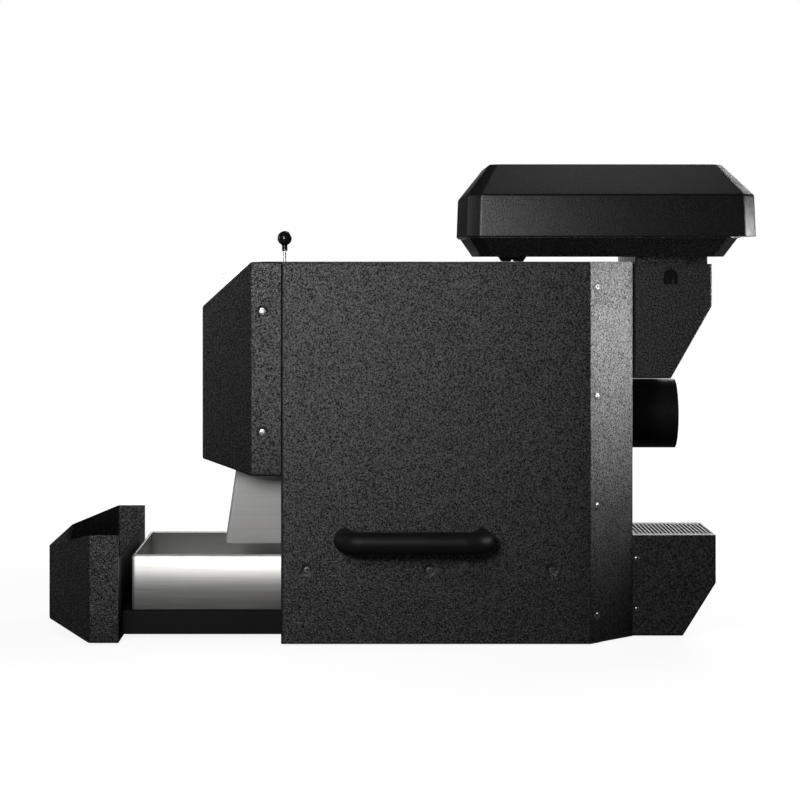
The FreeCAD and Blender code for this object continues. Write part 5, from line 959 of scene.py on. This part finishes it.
class ROASTER_OT_gate_pull(bpy.types.Operator):
    """Turn the gate's ball knob, its ferrule and its rod"""
    bl_idname = "roaster.gate_pull"
    bl_label = "Gate pull"

    def execute(self, context):
        pull = context.scene.roaster_pull
        low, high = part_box("gate_knob")
        x, radius = (low.x + high.x) / 2, (high.x - low.x) / 2
        centre = high.z - radius
        foot, head = (corner.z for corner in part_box("gate_rod"))
        collar = head - pull.sleeve_drop
        angle = np.linspace(0, HALF_TURN * 0.86, 26)
        ball = [(radius * math.sin(a), centre + radius * math.cos(a)) for a in angle]
        ball += [(r, ball[-1][1] - pull.bevel) for r in (pull.neck, 0.0)]
        self.turned("ball_knob", ball, 48, x, "Polished plastic", "gloss_black", "gate_knob")
        end = pull.sleeve - pull.bevel
        sleeve = [(0.0, head + pull.sleeve_lap), (end, head + pull.sleeve_lap),
                  (pull.sleeve, head - 0.4 * pull.sleeve_lap),
                  (pull.sleeve, collar + pull.bevel), (pull.sleeve_foot, collar),
                  (0.0, collar)]
        self.turned("rod_ferrule", sleeve, 32, x, "Polished plastic", "gloss_black", "gate_rod")
        stem = [(0.0, collar), (pull.rod, collar), (pull.rod, foot), (0.0, foot)]
        self.turned("pull_rod", stem, 32, x, "Bright steel", "bright", "gate_rod")
        return {"FINISHED"}

    def turned(self, name, profile, turns, x, material, slot, node):
        """One piece turned about the rod's upright axis."""
        made = mesh_from(name, [revolved(profile, turns, (x, 0, 0), (0, 0, 1))])
        outward(made)
        smooth_shaded(made)
        dress(made, "gate", slot, material, node)


class ROASTER_OT_tray(bpy.types.Operator):
    """Press the steel bean tray with its rolled rim and inner ledge"""
    bl_idname = "roaster.tray"
    bl_label = "Cooling tray"

    def execute(self, context):
        steel = context.scene.roaster_steel
        low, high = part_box("cooling_tray")
        soft = steel.tray_corner

        def ring(inset, z):
            corners = ((low.x + inset, low.y + inset), (high.x - inset, low.y + inset),
                       (high.x - inset, high.y - inset), (low.x + inset, high.y - inset))
            outline = rounded_outline(corners, soft, 6)
            return np.column_stack((outline, np.full(len(outline), z)))

        roll = steel.tray_roll
        turn = np.linspace(0, 1.5 * HALF_TURN, 10)
        start = roll + steel.tray_lean
        rim = [ring(start + roll * math.sin(a), high.z - roll + roll * math.cos(a))
               for a in turn[::-1]]
        wall = [ring(0.0, high.z - 2.6 * roll), ring(0.0, low.z + steel.tray_foot),
                ring(steel.tray_foot * 0.3, low.z + steel.tray_foot * 0.3),
                ring(steel.tray_foot, low.z), ring(steel.tray_ledge, low.z)]
        points = np.stack(rim + wall)
        faces = grid_faces(len(points), points.shape[1], True)
        made = mesh_from("steel_tray", [(points, faces[:, ::-1])])
        smooth_shaded(made, 50)
        thickened(made, steel.tray_wall)
        dress(made, "drawer", "steel_brushed", "Brushed steel", "cooling_tray")
        return {"FINISHED"}


class ROASTER_OT_chute(bpy.types.Operator):
    """Fold the steel discharge chute with its rounded cheeks"""
    bl_idname = "roaster.chute"
    bl_label = "Discharge chute"

    def execute(self, context):
        steel = context.scene.roaster_steel
        low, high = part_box("discharge_chute")
        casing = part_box("side_panel_left")[0].x
        radius = steel.chute_corner
        rows = []
        for share in np.linspace(0, 1, 13):
            front = low.x + (casing - steel.chute_top_reach - low.x) * share
            fold = steel.chute_fold
            plan = [(x, low.y) for x in np.linspace(high.x, front + fold, 24)]
            plan += soft_corner(plan[-1], (front, low.y), (front, low.y + fold), 6)
            plan += [(front, y) for y in np.linspace(low.y + fold, high.y - fold, 9)]
            plan += soft_corner(plan[-1], (front, high.y), (front + fold, high.y), 6)
            plan += [(x, high.y) for x in np.linspace(front + fold, high.x, 24)]
            plan = np.array(plan)
            gap = np.clip(radius - (plan[:, 0] - front), 0, radius)
            foot = low.z + radius - np.sqrt(radius**2 - gap**2)
            rows.append(np.column_stack((plan, foot + (high.z - foot) * share)))
        points = np.stack(rows)
        faces = grid_faces(len(points), points.shape[1], False)
        made = mesh_from("chute_shell", [(points, faces[:, ::-1])])
        smooth_shaded(made, 50)
        thickened(made, steel.tray_wall)
        dress(made, "housing", "steel_brushed", "Brushed steel", "discharge_chute")
        return {"FINISHED"}


def softbox(name, place, target, size, power, cone):
    """Square area lamp aimed at a point."""
    data = bpy.data.lights.new(name, "AREA")
    data.shape = "RECTANGLE"
    data.size, data.size_y = size
    data.energy = power
    data.spread = math.radians(cone)
    lamp = bpy.data.objects.new(name, data)
    lamp.location = place
    aim = Vector(target) - Vector(place)
    lamp.rotation_euler = aim.to_track_quat("-Z", "Y").to_euler()
    lamp.visible_camera = False
    bpy.context.scene.collection.objects.link(lamp)


def seen_by_camera(tree, plain, shown):
    """Shader that shows the camera one thing and is another to every other ray."""
    path = tree.nodes.new("ShaderNodeLightPath")
    mix = tree.nodes.new("ShaderNodeMixShader")
    tree.links.new(path.outputs["Is Camera Ray"], mix.inputs[0])
    tree.links.new(plain, mix.inputs[1])
    tree.links.new(shown, mix.inputs[2])
    return mix.outputs[0]


class ROASTER_OT_stage(bpy.types.Operator):
    """Lay the pale floor, hang the lamps and set the camera"""
    bl_idname = "roaster.stage"
    bl_label = "Stage"

    def execute(self, context):
        scene = context.scene
        scene.view_settings.view_transform = "Standard"
        self.floor(tuple(scene.roaster_paint.ground))
        self.world(scene)
        for name, (place, target, size, power, cone) in LAMPS.items():
            softbox(name, place, target, size, power, cone)
        self.camera(scene)
        return {"FINISHED"}

    def floor(self, ground):
        """Level floor, white to the camera but for the object's soft shadow."""
        points = [(x * FLOOR_REACH, y * FLOOR_REACH, 0)
                  for x, y in ((-1, -1), (1, -1), (1, 1), (-1, 1))]
        floor = mesh_from("floor", [(points, [(0, 1, 2, 3)])])
        made, tree, shader = blank_finish("Floor")
        shader.inputs["Base Color"].default_value = (*ground, 1)
        shader.inputs["Roughness"].default_value = 0.9
        white = tree.nodes.new("ShaderNodeEmission")
        away = tree.nodes.new("ShaderNodeVectorMath")
        away.operation = "LENGTH"
        tree.links.new(coordinates(tree), away.inputs[0])
        level = spread(tree, away.outputs["Value"], SHADE_START, SHADE_END, 0.90, 1.0)
        tree.links.new(level, white.inputs["Strength"])
        both = tree.nodes.new("ShaderNodeAddShader")
        tree.links.new(shader.outputs[0], both.inputs[0])
        tree.links.new(white.outputs[0], both.inputs[1])
        seen = seen_by_camera(tree, shader.outputs[0], both.outputs[0])
        output = next(node for node in tree.nodes if node.type == "OUTPUT_MATERIAL")
        tree.links.new(seen, output.inputs["Surface"])
        floor.data.materials.append(made)

    def world(self, scene):
        """Even pale surroundings, plain white where the camera looks past the object."""
        world = bpy.data.worlds.new("Studio")
        world.use_nodes = True
        scene.world = world
        tree = world.node_tree
        plain = tree.nodes["Background"]
        plain.inputs["Color"].default_value = (1, 1, 1, 1)
        plain.inputs["Strength"].default_value = WORLD_LEVEL
        white = tree.nodes.new("ShaderNodeEmission")
        seen = seen_by_camera(tree, plain.outputs[0], white.outputs[0])
        tree.links.new(seen, tree.nodes["World Output"].inputs["Surface"])

    def camera(self, scene):
        """Camera at the photograph's place, level and square to the machine's side."""
        data = bpy.data.cameras.new("Camera")
        data.lens = CAMERA_LENS
        data.sensor_width = 36
        data.shift_x, data.shift_y = CAMERA_SHIFT
        camera = bpy.data.objects.new("Camera", data)
        camera.location = CAMERA_PLACE
        camera.rotation_euler = (math.radians(90), 0, 0)
        scene.collection.objects.link(camera)
        scene.camera = camera


class ROASTER_PT_panel(bpy.types.Panel):
    """Steps that dress the roaster"""
    bl_label = "Roaster"
    bl_idname = "ROASTER_PT_panel"
    bl_space_type = "VIEW_3D"
    bl_region_type = "UI"
    bl_category = "Roaster"

    def draw(self, context):
        for step in STEPS:
            self.layout.operator(step.bl_idname)


GROUPS = {"roaster_sheet": RoasterSheet, "roaster_hood": RoasterHood,
          "roaster_drawer": RoasterDrawer, "roaster_cover": RoasterCover,
          "roaster_screws": RoasterScrews, "roaster_steel": RoasterSteel,
          "roaster_pull": RoasterPull, "roaster_plug": RoasterPlug,
          "roaster_paint": RoasterPaint}
STEPS = (ROASTER_OT_finishes, ROASTER_OT_hood, ROASTER_OT_side_panels,
         ROASTER_OT_sight_plug, ROASTER_OT_drawer_front, ROASTER_OT_cover, ROASTER_OT_screws,
         ROASTER_OT_gate_pull, ROASTER_OT_tray, ROASTER_OT_chute, ROASTER_OT_stage)


def register():
    for name, kind in GROUPS.items():
        bpy.utils.register_class(kind)
        setattr(bpy.types.Scene, name, PointerProperty(type=kind))
    for kind in (*STEPS, ROASTER_PT_panel):
        bpy.utils.register_class(kind)


def unregister():
    for kind in reversed((*STEPS, ROASTER_PT_panel)):
        bpy.utils.unregister_class(kind)
    for name, kind in GROUPS.items():
        delattr(bpy.types.Scene, name)
        bpy.utils.unregister_class(kind)


def main():
    """Dress the roaster step by step."""
    register()
    for step in STEPS:
        family, name = step.bl_idname.split(".")
        getattr(getattr(bpy.ops, family), name)()


if __name__ == "__main__":
    main()
